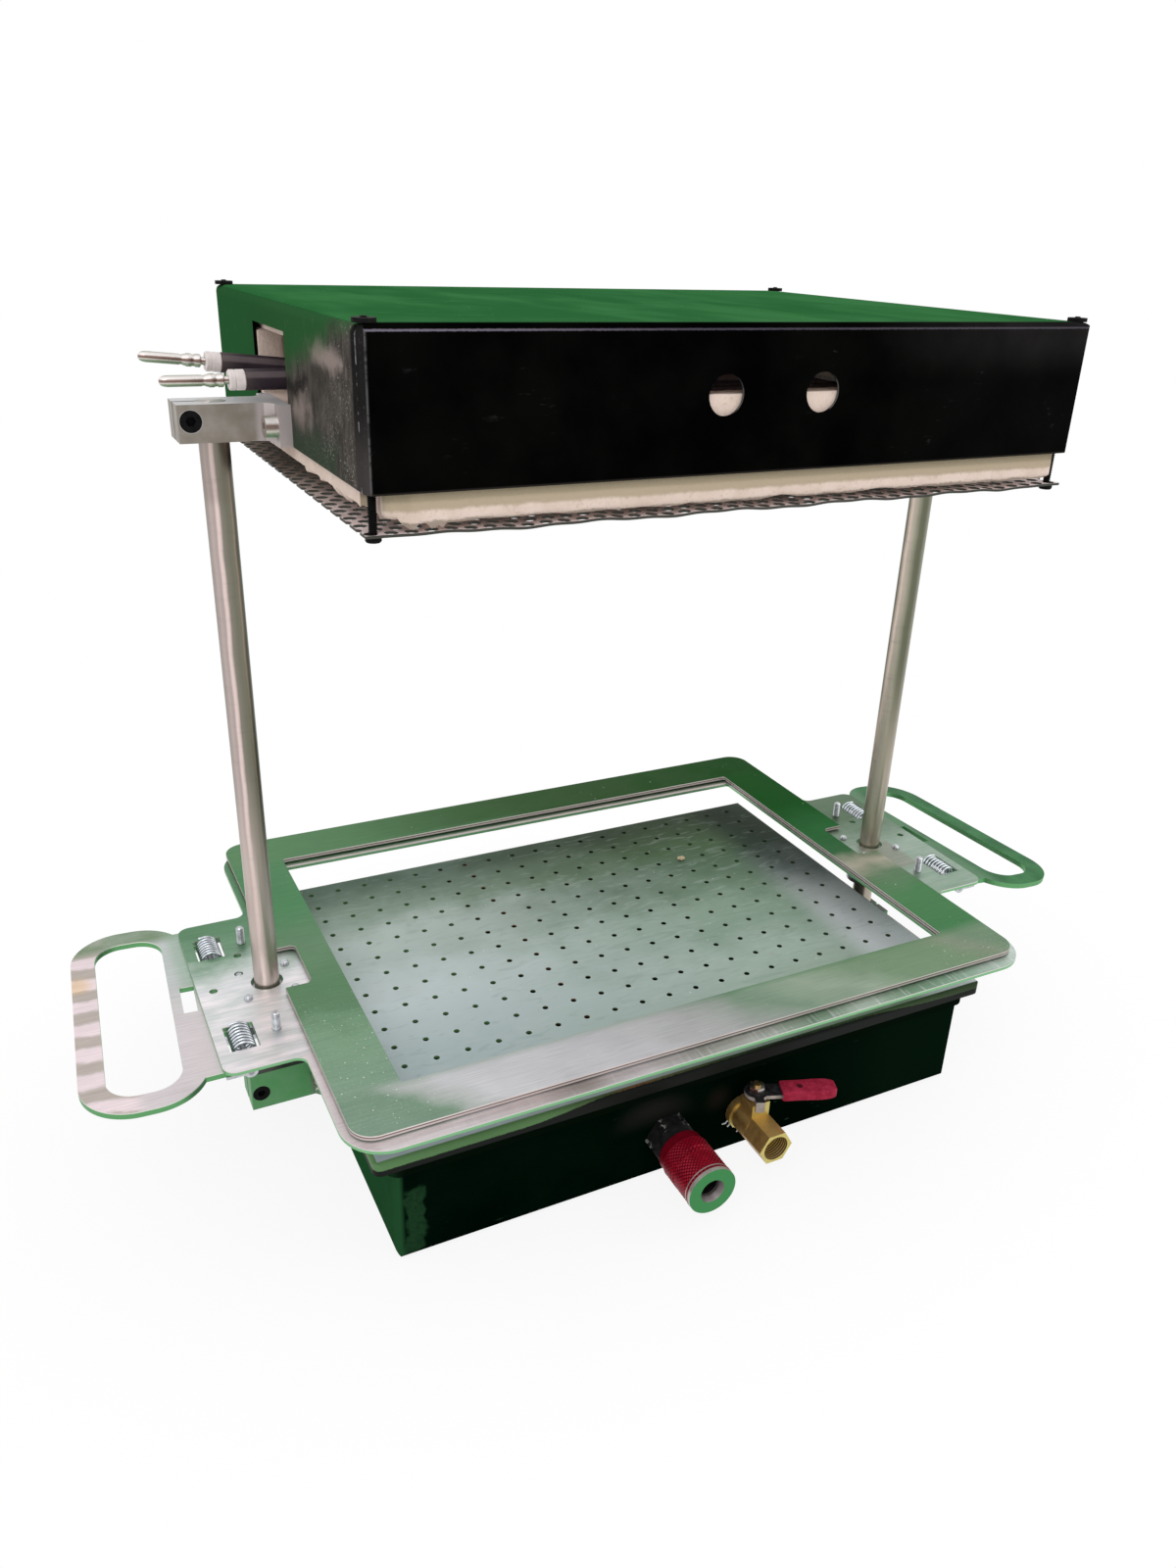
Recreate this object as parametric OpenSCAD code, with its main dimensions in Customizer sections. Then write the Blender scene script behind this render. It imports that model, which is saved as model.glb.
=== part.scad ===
// Hobby vacuum forming machine: a tray with a perforated platen stands on the bench, two rods
// rise from its sides, a heater hood hangs on their tops, and a clamp frame slides between them.
// +X is to the machine's right, +Y to its back, and the tray's bottom is at z = 0.

/* [Rods] */
// Diameter of the two guide rods
rod_d = 12; // [10:0.5:13]
// Distance of each rod's centre outside the lower frame's edge
rod_out = 2.5; // [1.5:0.5:4]
// Height of the rods' tops, which is also the top of the hood arms
rod_top_z = 357.5; // [340:0.5:420]

/* [Vacuum tray] */
// Distance from each rod's centre to the tray's wall
rod_to_tray = 25.5; // [24.5:0.5:28]
// Outside depth of the tray's wall
tray_d = 234; // [226:1:237]
// Height of the straight wall
tray_wall_h = 50; // [47:0.5:52]
// Sheet thickness of the tray
tray_t = 1.2; // [0.8:0.1:1.6]
// Radius of the tray's corners and bottom edges
tray_r = 6; // [3:0.5:10]
// How far the rim's step stands out at the sides
rim_step_x = 3; // [2:0.5:4]
// How far the rolled bead stands out at the sides
bead_out_x = 7; // [5:0.5:7.5]

/* [Platen] */
// How far the platen stands out past the tray's wall at the sides
platen_over_x = 9.5; // [8:0.5:9.5]
// How far the platen stands out past the tray's wall in front and at the back
platen_over_y = 3; // [2:0.5:6]
// Sheet thickness of the platen
platen_t = 1.5; // [1:0.1:2]
// Height of the platen's turned-down edge
skirt_h = 7; // [4:0.5:8]
// Diameter of the suction holes
suction_d = 3; // [1.5:0.1:5]
// Distance between suction holes from side to side
suction_pitch_x = 16; // [10:0.1:16.4]
// Distance between suction holes from front to back
suction_pitch_y = 15.6; // [10:0.1:16]
// Thickness of the seal under the platen
seal_t = 4; // [2:0.5:5]

/* [Clamp frame] */
// Height of the lower frame's underside, the carriage's rest height
carriage_z = 83.5; // [83:0.1:120]
// Sheet thickness of the lower frame and its ears
frame_t = 2; // [1.5:0.1:3]
// Width of the forming window, which sets the machine's width
window_w = 300; // [240:1:360]
// Depth of the forming window
window_d = 216; // [180:1:218]
// Width of the lower frame's side bars
frame_bar_x = 32; // [31:0.5:34]
// Width of the lower frame's front and rear bars
frame_bar_y = 30; // [26:0.5:37]
// Distance that each ear stands out from the frame
ear_out = 35; // [34:0.5:38]
// Length of each ear from front to back
ear_d = 128; // [126:1:150]
// Thickness of the clamp ring
ring_t = 2.2; // [1.5:0.1:3]
// Width of the clamp ring's side bars
ring_bar_x = 28.5; // [26:0.5:29]
// Width of the clamp ring's front and rear bars
ring_bar_y = 28; // [20:0.5:32]
// Thickness of the grip strip between frame and ring
grip_t = 0.8; // [0.5:0.1:2]

/* [Handles] */
// Thickness of the handle plates
handle_t = 3; // [2:0.1:3.2]
// Width of the hand opening
loop_w = 32; // [24:0.5:34]
// Length of the hand opening
loop_d = 124.5; // [90:0.5:130]
// Width of the bar round the hand opening
loop_bar = 11; // [8:0.5:12]
// Angle by which each loop turns outwards towards the front
loop_splay = 3.3; // [0:0.1:5]
// Angle by which the right handle is bent down outside its ear
right_bend = 5.5; // [0:0.5:8]

/* [Heater hood] */
// Distance from each rod's centre to the hood's wall
rod_to_hood = 27; // [26:0.5:29]
// Depth of the hood
hood_d = 236; // [228:1:260]
// Height of the hood
hood_h = 53; // [51:0.5:64]
// How far the hood's bottom edge hangs below the rods' tops
hood_hang = 16; // [15.5:0.5:20]
// Sheet thickness of the hood
hood_t = 1.2; // [0.8:0.1:1.4]
// Diameter of the two front ports
port_d = 15; // [8:0.5:18]
// Thickness of the ceramic fibre boards
board_t = 12; // [8:0.5:12]
// Diameter of the heating element
sheath_d = 8; // [6:0.5:8.5]
// How far the mesh guard stands out past the hood at each side
guard_over_x = 0.5; // [0:0.5:1.5]
// How far the mesh guard lies inside the hood's front and back
guard_in_y = 2.5; // [1:0.5:3]

/* [Hose fittings] */
// Outside diameter of the quick coupler
coupler_d = 24.7; // [23:0.1:26]
// Distance that the coupler stands out from the tray
coupler_l = 42; // [38:0.5:50]
// Distance that the valve stands out from the tray
valve_l = 31; // [30:0.5:36]
// Width across the valve's flats
valve_af = 16; // [15.5:0.1:18]
// Length of the valve's lever from its stem
valve_lever_l = 40; // [30:1:60]

/* [Hidden] */

$fn = 64;
small_fn = 24;
// Sides of a plain clearance hole in sheet metal
punched_fn = 12;
// Overrun of every cut past the face that it leaves
cut = 1;

// Widths and depths that follow the forming window and the rods
frame_w = window_w + 2 * frame_bar_x;
frame_d = window_d + 2 * frame_bar_y;
ring_w = window_w + 2 * ring_bar_x;
ring_d = window_d + 2 * ring_bar_y;
rod_spacing = frame_w + 2 * rod_out;
rod_x = rod_spacing / 2;
tray_w = rod_spacing - 2 * rod_to_tray;
platen_w = tray_w + 2 * platen_over_x;
platen_d = tray_d + 2 * platen_over_y;
hood_w = rod_spacing - 2 * rod_to_hood;
hood_z = rod_top_z - hood_hang;
guard_w = hood_w + 2 * guard_over_x;
guard_d = hood_d - 2 * guard_in_y;

// Rim of the tray and the platen on it
rim_step_y = 0.8;
rim_step_h = 5;
bead_out_y = 1.4;
bead_h = 2.5;
rim_top_z = tray_wall_h + rim_step_h + bead_h;
seal_w = 8;
seal_edge = 0.5;
skirt_t = 1.2;
platen_edge_r = 2.5;
platen_corner_r = 4;
platen_under_z = rim_top_z + seal_t;
platen_top_z = platen_under_z + platen_t;
suction_margin = 10;
suction_columns = floor((platen_w - 2 * suction_margin) / suction_pitch_x) + 1;
suction_rows = floor((platen_d - 2 * suction_margin) / suction_pitch_y) + 1;
post_d = 10;
post_x_share = 0.25;
post_y_share = 0.24;

// Split arms that hold the rods
arm_w = 20;
arm_end = 14.5;
arm_flange_t = 5;
arm_flange_w = 38;
arm_chamfer = 3.5;
arm_fit = 0.02;
slit_w = 1.6;
base_arm_h = 21;
base_arm_z = 18;
base_flange_drop = 2;
hood_arm_h = 14.5;
hood_flange_drop = 1.5;
clamp_offset = 9.6;
clamp_head_d = 8.2;
clamp_head_h = 5;
clamp_shank_d = 5;
clamp_shank_l = 17;
base_clamp_rise = 9;
hood_clamp_rise = 8.2;
screw_gap = 0.15;
socket_af = 4;
socket_deep = 2.5;
bolt_y = 14.4;
bolt_d = 5;
bolt_head_d = 8.5;
bolt_head_h = 5;
bolt_nut_af = 8;
bolt_nut_h = 4;
bolt_end = 1.5;
base_bolt_rise = 11;
hood_bolt_rise = 6;

// Clamp frame and ring
frame_corner_r = 20;
ear_r = 6;
ear_fillet = 5;
rod_hole_d = 15.4;
window_r = 1.5;
ring_shift_y = 5;
ring_corner_r = 11;
ring_notch_in = 13;
ring_notch_front = 14;
ring_notch_back = 22;
ring_notch_r = 3;
grip_w = 13;
// How far the grip strip keeps clear of the two windows, and of the lower one's front
grip_inset = 2;
grip_front_inset = 1.5;
grip_front = window_d / 2 + grip_front_inset;
grip_back = window_d / 2 + ring_shift_y + grip_inset;
grip_side = window_w / 2 + grip_inset;
ear_hole_d = 4;
ear_hole_near = [8.6, 27.8];
ear_hole_far = [25.3, 1.2];

// Bushes on the rods
bush_fit = 0.04;
bush_flange_w = 31;
bush_flange_d = 42;
bush_flange_t = 5;
bush_d = 21;
bush_l = 15;
bush_pattern = 11.3;
bush_screw_d = 4;
bush_screw_head_d = 6.6;
bush_screw_head_h = 2.6;
bush_screw_stand = 1.7;
bush_screw_flush = 0.3;

// Spring hinges under the ears
hinge_out = 20.5;
hinge_y = 39.5;
pin_d = 3;
pin_drop = 3.3;
knuckle_d = 6;
knuckle_l = 5;
knuckle_gap = 0.2;
knuckle_fit = 0.03;
leaf_t = 1.5;
leaf_inner = 21;
leaf_outer = 10.9;
leaf_edge_gap = 0.7;
rivet_d = 3;
rivet_head_d = 5;
rivet_head_h = 1;
rivet_out = 8;
stud_in = 16.1;
stud_d = 4;
stud_head_d = 7;
stud_head_h = 3;
stud_stand = 9;
spring_d = 11;
spring_wire = 1.2;
spring_curls = 7.5;
spring_l = 18.2;
spring_rest = 0.25;
spring_long_leg = 9;
spring_leg = 3;
// Angle by which the long leg slopes down, clear of the leaf when the handle is pressed
spring_leg_tilt = 6;
spring_sides = 6;
spring_rings = 8;
spring_window_w = 13.5;
spring_window_l = 19.4;

// Handles and the yokes that they pull against the rods
handle_gap = 0.1;
handle_inner = 1.5;
handle_neck = 20;
handle_neck_front = 59;
handle_neck_back = 64;
handle_knuckle_gap = 0.6;
spring_cut_gap = 1.3;
loop_out = 60.9;
loop_y = 2.2;
loop_r = 13;
slot_out = 36.8;
slot_y = 2.5;
slot_w = 6.5;
slot_l = 22;
bend_out = 32.5;
yoke_w = 22;
yoke_foot_t = 3;
yoke_foot_l = 10.2;
yoke_leg_t = 2.5;
yoke_tongue_t = 2.5;
yoke_tongue_in = 11;
yoke_drop = 22;
yoke_grip_gap = 0.3;
yoke_release = 2;
yoke_screw_d = 4;
yoke_screw_head_d = 6.6;
yoke_screw_head_h = 3;
yoke_screw_y = 6.5;
yoke_screw_out = 8;

// Hood, boards and element
hood_r = 4;
port_x = 21.5;
port_rise = 28.5;
port_z = hood_z + port_rise;
slot_front = -15;
slot_back = 39.5;
slot_rise = 12.5;
slot_h = 30;
slot_bottom = hood_z + slot_rise;
slot_top = slot_bottom + slot_h;
board_gap = 0.25;
front_board_drop = 11.2;
front_board_z = hood_z - front_board_drop;
front_board_left_in = 14.5;
front_board_right_in = 7.5;
front_board_left = hood_w / 2 - front_board_left_in;
front_board_right = hood_w / 2 - front_board_right_in;
side_board_drop = 6.5;
side_board_z = hood_z - side_board_drop;
side_board_gap = 0.3;
board_notch_front = -13;
board_notch_back = 38;
board_notch_rise = 14.5;
board_notch_z = hood_z + board_notch_rise;
nut_pocket_d = 12;
corner_board_w = 8.4;
element_z = port_z - sheath_d / 2;
// How far the element's bends lie inside the hood's sides
element_left_in = 59.5;
element_right_in = 57.5;
element_cross_in = 27.5;
end_bend_in = 17.5;
element_left = hood_w / 2 - element_left_in;
element_right = hood_w / 2 - element_right_in;
element_cross = hood_w / 2 - element_cross_in;
end_bend_x = hood_w / 2 - end_bend_in;
element_corner_r = 20;
run_front_in = 30;
run_back_in = 28;
// Where the element's runs lie from front to back
run_y = [run_front_in - hood_d / 2, -48, -8, 25, 58, hood_d / 2 - run_back_in];
end_tilt = [0, 5.2];
end_bend_r = 30;
end_sheath_l = 32;
bead_d = 7.8;
bead_l = 6.3;
terminal_pin_d = 3;
terminal_bare_l = 1.7;
crimp_d = 5.2;
crimp_l = 7;
bullet_d = 4.3;
bullet_l = 17;
bead_bore = 3.2;
rail_w = 12;
rail_t = 1.5;
rail_x = 55;
rail_end = 3;
clip_wire = 2;
clip_gap = 0.1;
clip_stand = 3;
guard_t = 1;
guard_drop = 14.5;
guard_z = hood_z - guard_drop;
guard_pitch = 16.5;
guard_hole_d = 11.5;
guard_edge = 2;
guard_r = 4;
guard_bolt_d = 3.2;
guard_bolt_in_x = 3.3;
guard_bolt_in_y = 6.5;
guard_head_d = 5.7;
guard_head_h = 2.1;
guard_nut_d = 8;
guard_nut_h = 1.5;
guard_bolt_stand = 0.6;

// Quick coupler
coupler_x = -22;
coupler_z = 25;
coupler_hex_af = 21.5;
coupler_hex_l = 8;
coupler_collar_d = 20.4;
coupler_collar_l = 4.6;
coupler_core_d = 17;
coupler_ring_l = 4;
coupler_bore_r = 5.1;
coupler_bore_l = 21;
coupler_mouth_r = 6.2;
coupler_mouth_l = 3;
coupler_through_r = 3.5;
sleeve_fit = 0.08;
sleeve_bore_gap = 0.4;
sleeve_land_l = 5;
sleeve_travel = 4;
sleeve_start_gap = 0.2;
sleeve_groove_l = 1.6;
sleeve_groove_deep = 0.8;
// Where the sleeve's two grooves lie along it
sleeve_groove_shares = [0.28, 0.55];
sleeve_end_gap = 0.2;
spring_wall_gap = 0.2;
stub_d = 12.6;
stub_l = 9;
wall_hole_d = 13.2;
bulkhead_af = 19;
bulkhead_h = 5;

// Ball valve
valve_x = 20.5;
valve_z = 25.5;
valve_stem_y = 11;
valve_port_r = 6.6;
valve_port_l = 10;
valve_way_r = 4;
valve_block_d = 18;
valve_neck_d = 15.4;
valve_neck_l = 1.5;
valve_mid_d = 16.5;
valve_rear_l = 3.5;
valve_hex_l = 15;
bonnet_w = 10;
bonnet_top = 15.5;
ball_d = 13;
ball_gap = 0.3;
ball_flat = 5.4;
seat_inner_r = 4.4;
seat_outer_r = 6.2;
seat_near = 5.7;
seat_l = 2.2;
stem_d = 6;
stem_gap = 0.06;
stem_top_d = 4;
lever_t = 2;
lever_lift = 2.5;
lever_w = 9;
lever_hub_d = 12;
lever_turn = -20;
grip_start = 12;
grip_thick = 5.5;
grip_wide = 10;
grip_fit = 0.02;
stem_nut_af = 7;
stem_nut_h = 3.2;
stem_stand = 1;
stop_tab_t = 1.5;
stop_tab_l = 4;
stop_tab_gap = 0.6;

// Heights worked out from the sizes above
frame_top_z = carriage_z + frame_t;
ring_z = frame_top_z + grip_t;
hinge_x = rod_x + hinge_out;
pin_z = carriage_z - pin_drop;
handle_top_z = carriage_z - handle_gap;
handle_z = handle_top_z - handle_t;
hood_top_z = hood_z + hood_h;
hood_arm_z = rod_top_z - hood_arm_h;
front_board_top = element_z + sheath_d / 2;
lid_z = hood_top_z - hood_t - board_gap - board_t;
tray_front = -tray_d / 2;
// Hinge knuckles counted from the middle of their spring
inner_knuckle = spring_window_l / 2;
outer_knuckle = inner_knuckle + knuckle_l + knuckle_gap;
station_l = 2 * (outer_knuckle + knuckle_l + knuckle_gap);
bolt_corner_x = hood_w / 2 - guard_bolt_in_x;
bolt_corner_y = hood_d / 2 - guard_bolt_in_y;

// Rectangle about the origin with round corners
module rounded_rect(w, d, r) {
    square([w - 2 * r, d], center = true);
    square([w, d - 2 * r], center = true);
    for (sx = [-1, 1], sy = [-1, 1])
        translate([sx * (w / 2 - r), sy * (d / 2 - r)])
            circle(r = r);
}

// Upright profile of a pressed pan, with round lower corners
module pan_profile(w, h, r) {
    translate([-w / 2, r])
        square([w, h - r]);
    translate([r - w / 2, 0])
        square([w - 2 * r, h]);
    for (s = [-1, 1])
        translate([s * (w / 2 - r), r])
            circle(r = r);
}

// Solid pan standing on z = 0, round at its corners and bottom edges
module pan(w, d, h, r) {
    intersection() {
        linear_extrude(height = h)
            rounded_rect(w, d, r);
        translate([0, d / 2, 0])
            rotate([90, 0, 0])
                linear_extrude(height = d)
                    pan_profile(w, h, r);
        translate([-w / 2, 0, 0])
            rotate([90, 0, 90])
                linear_extrude(height = w)
                    pan_profile(d, h, r);
    }
}

// Draws a right-hand piece as it is, or mirrored for the left
module on_side(side) {
    mirror([side < 0 ? 1 : 0, 0, 0])
        children();
}

// Cylinder along +X from the origin
module rod_along_x(d, l, sides = $fn) {
    rotate([0, 90, 0])
        cylinder(d = d, h = l, $fn = sides);
}

// Cylinder along -Y from the origin, towards the front
module rod_to_front(d, l, sides = $fn) {
    rotate([90, 0, 0])
        cylinder(d = d, h = l, $fn = sides);
}

// Vacuum tray with its base arms

module tray_holes() {
    for (p = [[coupler_x, coupler_z], [valve_x, valve_z]])
        translate([p[0], tray_front + tray_t + cut, p[1]])
            rod_to_front(wall_hole_d, tray_t + 2 * cut, punched_fn);
    for (side = [-1, 1], sy = [-1, 1])
        on_side(side)
            translate([tray_w / 2 - tray_t - cut, sy * bolt_y, base_arm_z + base_bolt_rise])
                rod_along_x(bolt_d + 2 * screw_gap, tray_t + 2 * cut, punched_fn);
}

module vacuum_tray() {
    step_w = tray_w + 2 * rim_step_x;
    step_d = tray_d + 2 * rim_step_y;
    color([0.04, 0.09, 0.06])
        difference() {
            union() {
                pan(tray_w, tray_d, tray_wall_h + tray_t, tray_r);
                translate([0, 0, tray_wall_h])
                    linear_extrude(height = rim_step_h)
                        rounded_rect(step_w, step_d, tray_r + rim_step_y);
                translate([0, 0, tray_wall_h + rim_step_h])
                    linear_extrude(height = bead_h)
                        rounded_rect(tray_w + 2 * bead_out_x, tray_d + 2 * bead_out_y, tray_r + bead_out_y);
            }
            translate([0, 0, tray_t])
                pan(tray_w - 2 * tray_t, tray_d - 2 * tray_t, tray_wall_h + cut, tray_r - tray_t);
            translate([0, 0, tray_wall_h + tray_t])
                linear_extrude(height = rim_step_h + bead_h)
                    rounded_rect(step_w - 2 * tray_t, step_d - 2 * tray_t, tray_r);
            tray_holes();
        }
}

// Grid of suction holes that starts at its own corner
module suction_grid() {
    translate([-(suction_columns - 1) * suction_pitch_x / 2, -(suction_rows - 1) * suction_pitch_y / 2, 0])
        for (i = [0 : suction_columns - 1], j = [0 : suction_rows - 1])
            translate([i * suction_pitch_x, j * suction_pitch_y, platen_under_z - cut])
                cylinder(d = suction_d, h = platen_t + 2 * cut, $fn = small_fn);
}

module platen() {
    color([0.62, 0.68, 0.66])
        difference() {
            translate([0, 0, platen_top_z])
                mirror([0, 0, 1])
                    intersection() {
                        pan(platen_w, platen_d, skirt_h, platen_edge_r);
                        linear_extrude(height = skirt_h)
                            rounded_rect(platen_w, platen_d, platen_corner_r);
                    }
            translate([0, 0, platen_under_z - skirt_h])
                linear_extrude(height = skirt_h)
                    rounded_rect(platen_w - 2 * skirt_t, platen_d - 2 * skirt_t, platen_corner_r - skirt_t);
            suction_grid();
        }
}

module platen_seal() {
    outer_w = tray_w + 2 * bead_out_x - 2 * seal_edge;
    outer_d = tray_d + 2 * bead_out_y - 2 * seal_edge;
    color([0.15, 0.15, 0.15])
        translate([0, 0, rim_top_z])
            linear_extrude(height = seal_t)
                difference() {
                    rounded_rect(outer_w, outer_d, tray_r);
                    square([outer_w - 2 * seal_w, outer_d - 2 * seal_w], center = true);
                }
}

module platen_posts() {
    color([0.7, 0.7, 0.72])
        for (sx = [-1, 1], sy = [-1, 1])
            translate([sx * post_x_share * tray_w, sy * post_y_share * tray_d, tray_t])
                cylinder(d = post_d, h = platen_under_z - tray_t);
}

// Plan of a split arm for the right side, from the wall that it is bolted to
module arm_plan(wall_x) {
    face_x = wall_x + arm_flange_t;
    end_x = rod_x + arm_end;
    polygon([
        [face_x, -arm_w / 2 - arm_chamfer],
        [face_x + arm_chamfer, -arm_w / 2],
        [end_x, -arm_w / 2],
        [end_x, arm_w / 2],
        [face_x + arm_chamfer, arm_w / 2],
        [face_x, arm_w / 2 + arm_chamfer]
    ]);
}

// Split arm for the right side: block, flange, rod bore, slit and screw holes
module split_arm(wall_x, z, h, flange_drop, clamp_rise, bolt_rise) {
    face_x = wall_x + arm_flange_t;
    difference() {
        union() {
            translate([0, 0, z])
                linear_extrude(height = h)
                    arm_plan(wall_x);
            translate([wall_x, -arm_flange_w / 2, z - flange_drop])
                cube([arm_flange_t, arm_flange_w, h + flange_drop]);
        }
        translate([rod_x, 0, z - cut])
            cylinder(d = rod_d + 2 * arm_fit, h = h + 2 * cut);
        translate([rod_x, -slit_w / 2, z - cut])
            cube([arm_end + cut, slit_w, h + 2 * cut]);
        translate([rod_x + clamp_offset, -arm_w / 2 + clamp_shank_l + cut, z + clamp_rise])
            rod_to_front(clamp_shank_d + 2 * screw_gap, clamp_shank_l + 2 * cut);
        translate([rod_x + clamp_offset, -arm_w / 2 + clamp_head_h, z + clamp_rise])
            rod_to_front(clamp_head_d + 2 * screw_gap, clamp_head_h + cut);
        for (sy = [-1, 1]) {
            translate([wall_x - cut, sy * bolt_y, z + bolt_rise])
                rod_along_x(bolt_d + 2 * screw_gap, arm_flange_t + 2 * cut);
            translate([face_x, sy * bolt_y, z + bolt_rise])
                rod_along_x(bolt_head_d + 2 * screw_gap, bolt_head_h + cut);
        }
    }
}

module base_arm(side) {
    color([0.75, 0.78, 0.77])
        on_side(side)
            split_arm(tray_w / 2, base_arm_z, base_arm_h, base_flange_drop, base_clamp_rise, base_bolt_rise);
}

module hood_arm(side) {
    color([0.8, 0.8, 0.78])
        on_side(side)
            split_arm(hood_w / 2, hood_arm_z, hood_arm_h, hood_flange_drop, hood_clamp_rise, hood_bolt_rise);
}

// Socket head screw along +Y, its head's face at the origin
module clamp_screw() {
    difference() {
        rotate([-90, 0, 0])
            union() {
                cylinder(d = clamp_head_d, h = clamp_head_h);
                cylinder(d = clamp_shank_d, h = clamp_shank_l);
            }
        translate([0, socket_deep, 0])
            rotate([90, 0, 0])
                cylinder(d = socket_af, h = socket_deep + cut, $fn = 6);
    }
}

module clamp_screws(z) {
    color([0.06, 0.06, 0.06])
        for (side = [-1, 1])
            on_side(side)
                translate([rod_x + clamp_offset, -arm_w / 2, z])
                    clamp_screw();
}

module base_clamp_screws() {
    clamp_screws(base_arm_z + base_clamp_rise);
}

module hood_clamp_screws() {
    clamp_screws(hood_arm_z + hood_clamp_rise);
}

// Bolts through the flanges and the wall, with their nuts inside
module flange_bolts(wall_x, wall_t, z) {
    grip = arm_flange_t + wall_t;
    color([0.78, 0.78, 0.78])
        for (side = [-1, 1], sy = [-1, 1])
            on_side(side)
                translate([wall_x + arm_flange_t, sy * bolt_y, z]) {
                    difference() {
                        rod_along_x(bolt_head_d, bolt_head_h);
                        translate([bolt_head_h - socket_deep, 0, 0])
                            rotate([0, 90, 0])
                                cylinder(d = socket_af, h = socket_deep + cut, $fn = 6);
                    }
                    translate([-grip - bolt_nut_h - bolt_end, 0, 0])
                        rod_along_x(bolt_d, grip + bolt_nut_h + bolt_end);
                    translate([-grip - bolt_nut_h, 0, 0])
                        rotate([0, 90, 0])
                            cylinder(r = bolt_nut_af / sqrt(3), h = bolt_nut_h, $fn = 6);
                }
}

module base_arm_bolts() {
    flange_bolts(tray_w / 2, tray_t, base_arm_z + base_bolt_rise);
}

module hood_arm_bolts() {
    flange_bolts(hood_w / 2, hood_t, hood_arm_z + hood_bolt_rise);
}

module guide_rod(side) {
    color([0.72, 0.7, 0.68])
        translate([side * rod_x, 0, base_arm_z])
            cylinder(d = rod_d, h = rod_top_z - base_arm_z);
}

// Heater hood

module hood_shell() {
    color([0.03, 0.1, 0.06])
        difference() {
            translate([0, 0, hood_top_z])
                mirror([0, 0, 1])
                    pan(hood_w, hood_d, hood_h, hood_r);
            translate([0, 0, hood_top_z - hood_t])
                mirror([0, 0, 1])
                    pan(hood_w - 2 * hood_t, hood_d - 2 * hood_t, hood_h, hood_r - hood_t);
            for (s = [-1, 1])
                translate([s * port_x, -hood_d / 2 + hood_t + cut, port_z])
                    rod_to_front(port_d, hood_t + 2 * cut);
            translate([-hood_w / 2 - cut, slot_front, slot_bottom])
                cube([hood_t + 2 * cut, slot_back - slot_front, slot_top - slot_bottom]);
            for (side = [-1, 1], sy = [-1, 1])
                on_side(side)
                    translate([hood_w / 2 - hood_t - cut, sy * bolt_y, hood_arm_z + hood_bolt_rise])
                        rod_along_x(bolt_d + 2 * screw_gap, hood_t + 2 * cut);
            at_corners()
                translate([0, 0, hood_top_z - hood_t - cut])
                    cylinder(d = guard_bolt_d + 2 * screw_gap, h = hood_t + 2 * cut, $fn = small_fn);
        }
}

// Repeats a piece at the four guard bolts
module at_corners() {
    for (sx = [-1, 1], sy = [-1, 1])
        translate([sx * bolt_corner_x, sy * bolt_corner_y, 0])
            children();
}

// Board along the front or the back of the hood, standing inside the wall
module long_board(left_x, right_x) {
    translate([left_x, -hood_d / 2 + hood_t + board_gap, front_board_z])
        cube([right_x - left_x, board_t, front_board_top - front_board_z]);
}

// Board along the right side of the hood, with pockets for the nuts of the arm
module side_board() {
    half_d = hood_d / 2 - hood_t - board_gap - board_t - side_board_gap;
    outer_x = hood_w / 2 - hood_t - board_gap;
    difference() {
        translate([outer_x - board_t, -half_d, side_board_z])
            cube([board_t, 2 * half_d, lid_z - side_board_z]);
        for (sy = [-1, 1])
            translate([outer_x - board_t - cut, sy * bolt_y, hood_arm_z + hood_bolt_rise])
                rod_along_x(nut_pocket_d, board_t + 2 * cut);
    }
}

module insulation_walls() {
    color([0.85, 0.82, 0.72]) {
        long_board(-front_board_left, front_board_right);
        long_board(-front_board_left - side_board_gap - corner_board_w, -front_board_left - side_board_gap);
        mirror([0, 1, 0])
            long_board(-front_board_right, front_board_right);
        side_board();
        difference() {
            mirror([1, 0, 0])
                side_board();
            translate([-hood_w / 2, board_notch_front, board_notch_z])
                cube([board_t + hood_t + board_gap + cut, board_notch_back - board_notch_front, lid_z]);
        }
    }
}

module insulation_lid() {
    lid_w = hood_w - 2 * hood_r;
    lid_d = hood_d - 2 * hood_r;
    color([0.85, 0.82, 0.72])
        difference() {
            translate([0, 0, lid_z])
                linear_extrude(height = board_t)
                    rounded_rect(lid_w, lid_d, hood_r);
            at_corners()
                translate([0, 0, lid_z - cut])
                    cylinder(d = guard_nut_d, h = board_t + 2 * cut);
        }
}

// One straight run of the element along X
module element_run(i, x0, x1) {
    translate([x0, run_y[i], element_z])
        rod_along_x(sheath_d, x1 - x0);
}

// One bend of the element about an upright axis, from angle a0
module element_bend(x, y, r, a0, turn) {
    translate([x, y, element_z])
        rotate([0, 0, a0])
            rotate_extrude(angle = turn)
                translate([r, 0])
                    circle(d = sheath_d, $fn = small_fn);
}

// Puts a piece that points along +Z on one of the element's two ends, pointing out to the left
module at_element_end(i) {
    translate([-end_bend_x, run_y[i + 2], element_z + end_bend_r])
        rotate([0, end_tilt[i], 0])
            translate([0, 0, -end_bend_r])
                rotate([0, -90, 0])
                    children();
}

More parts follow.
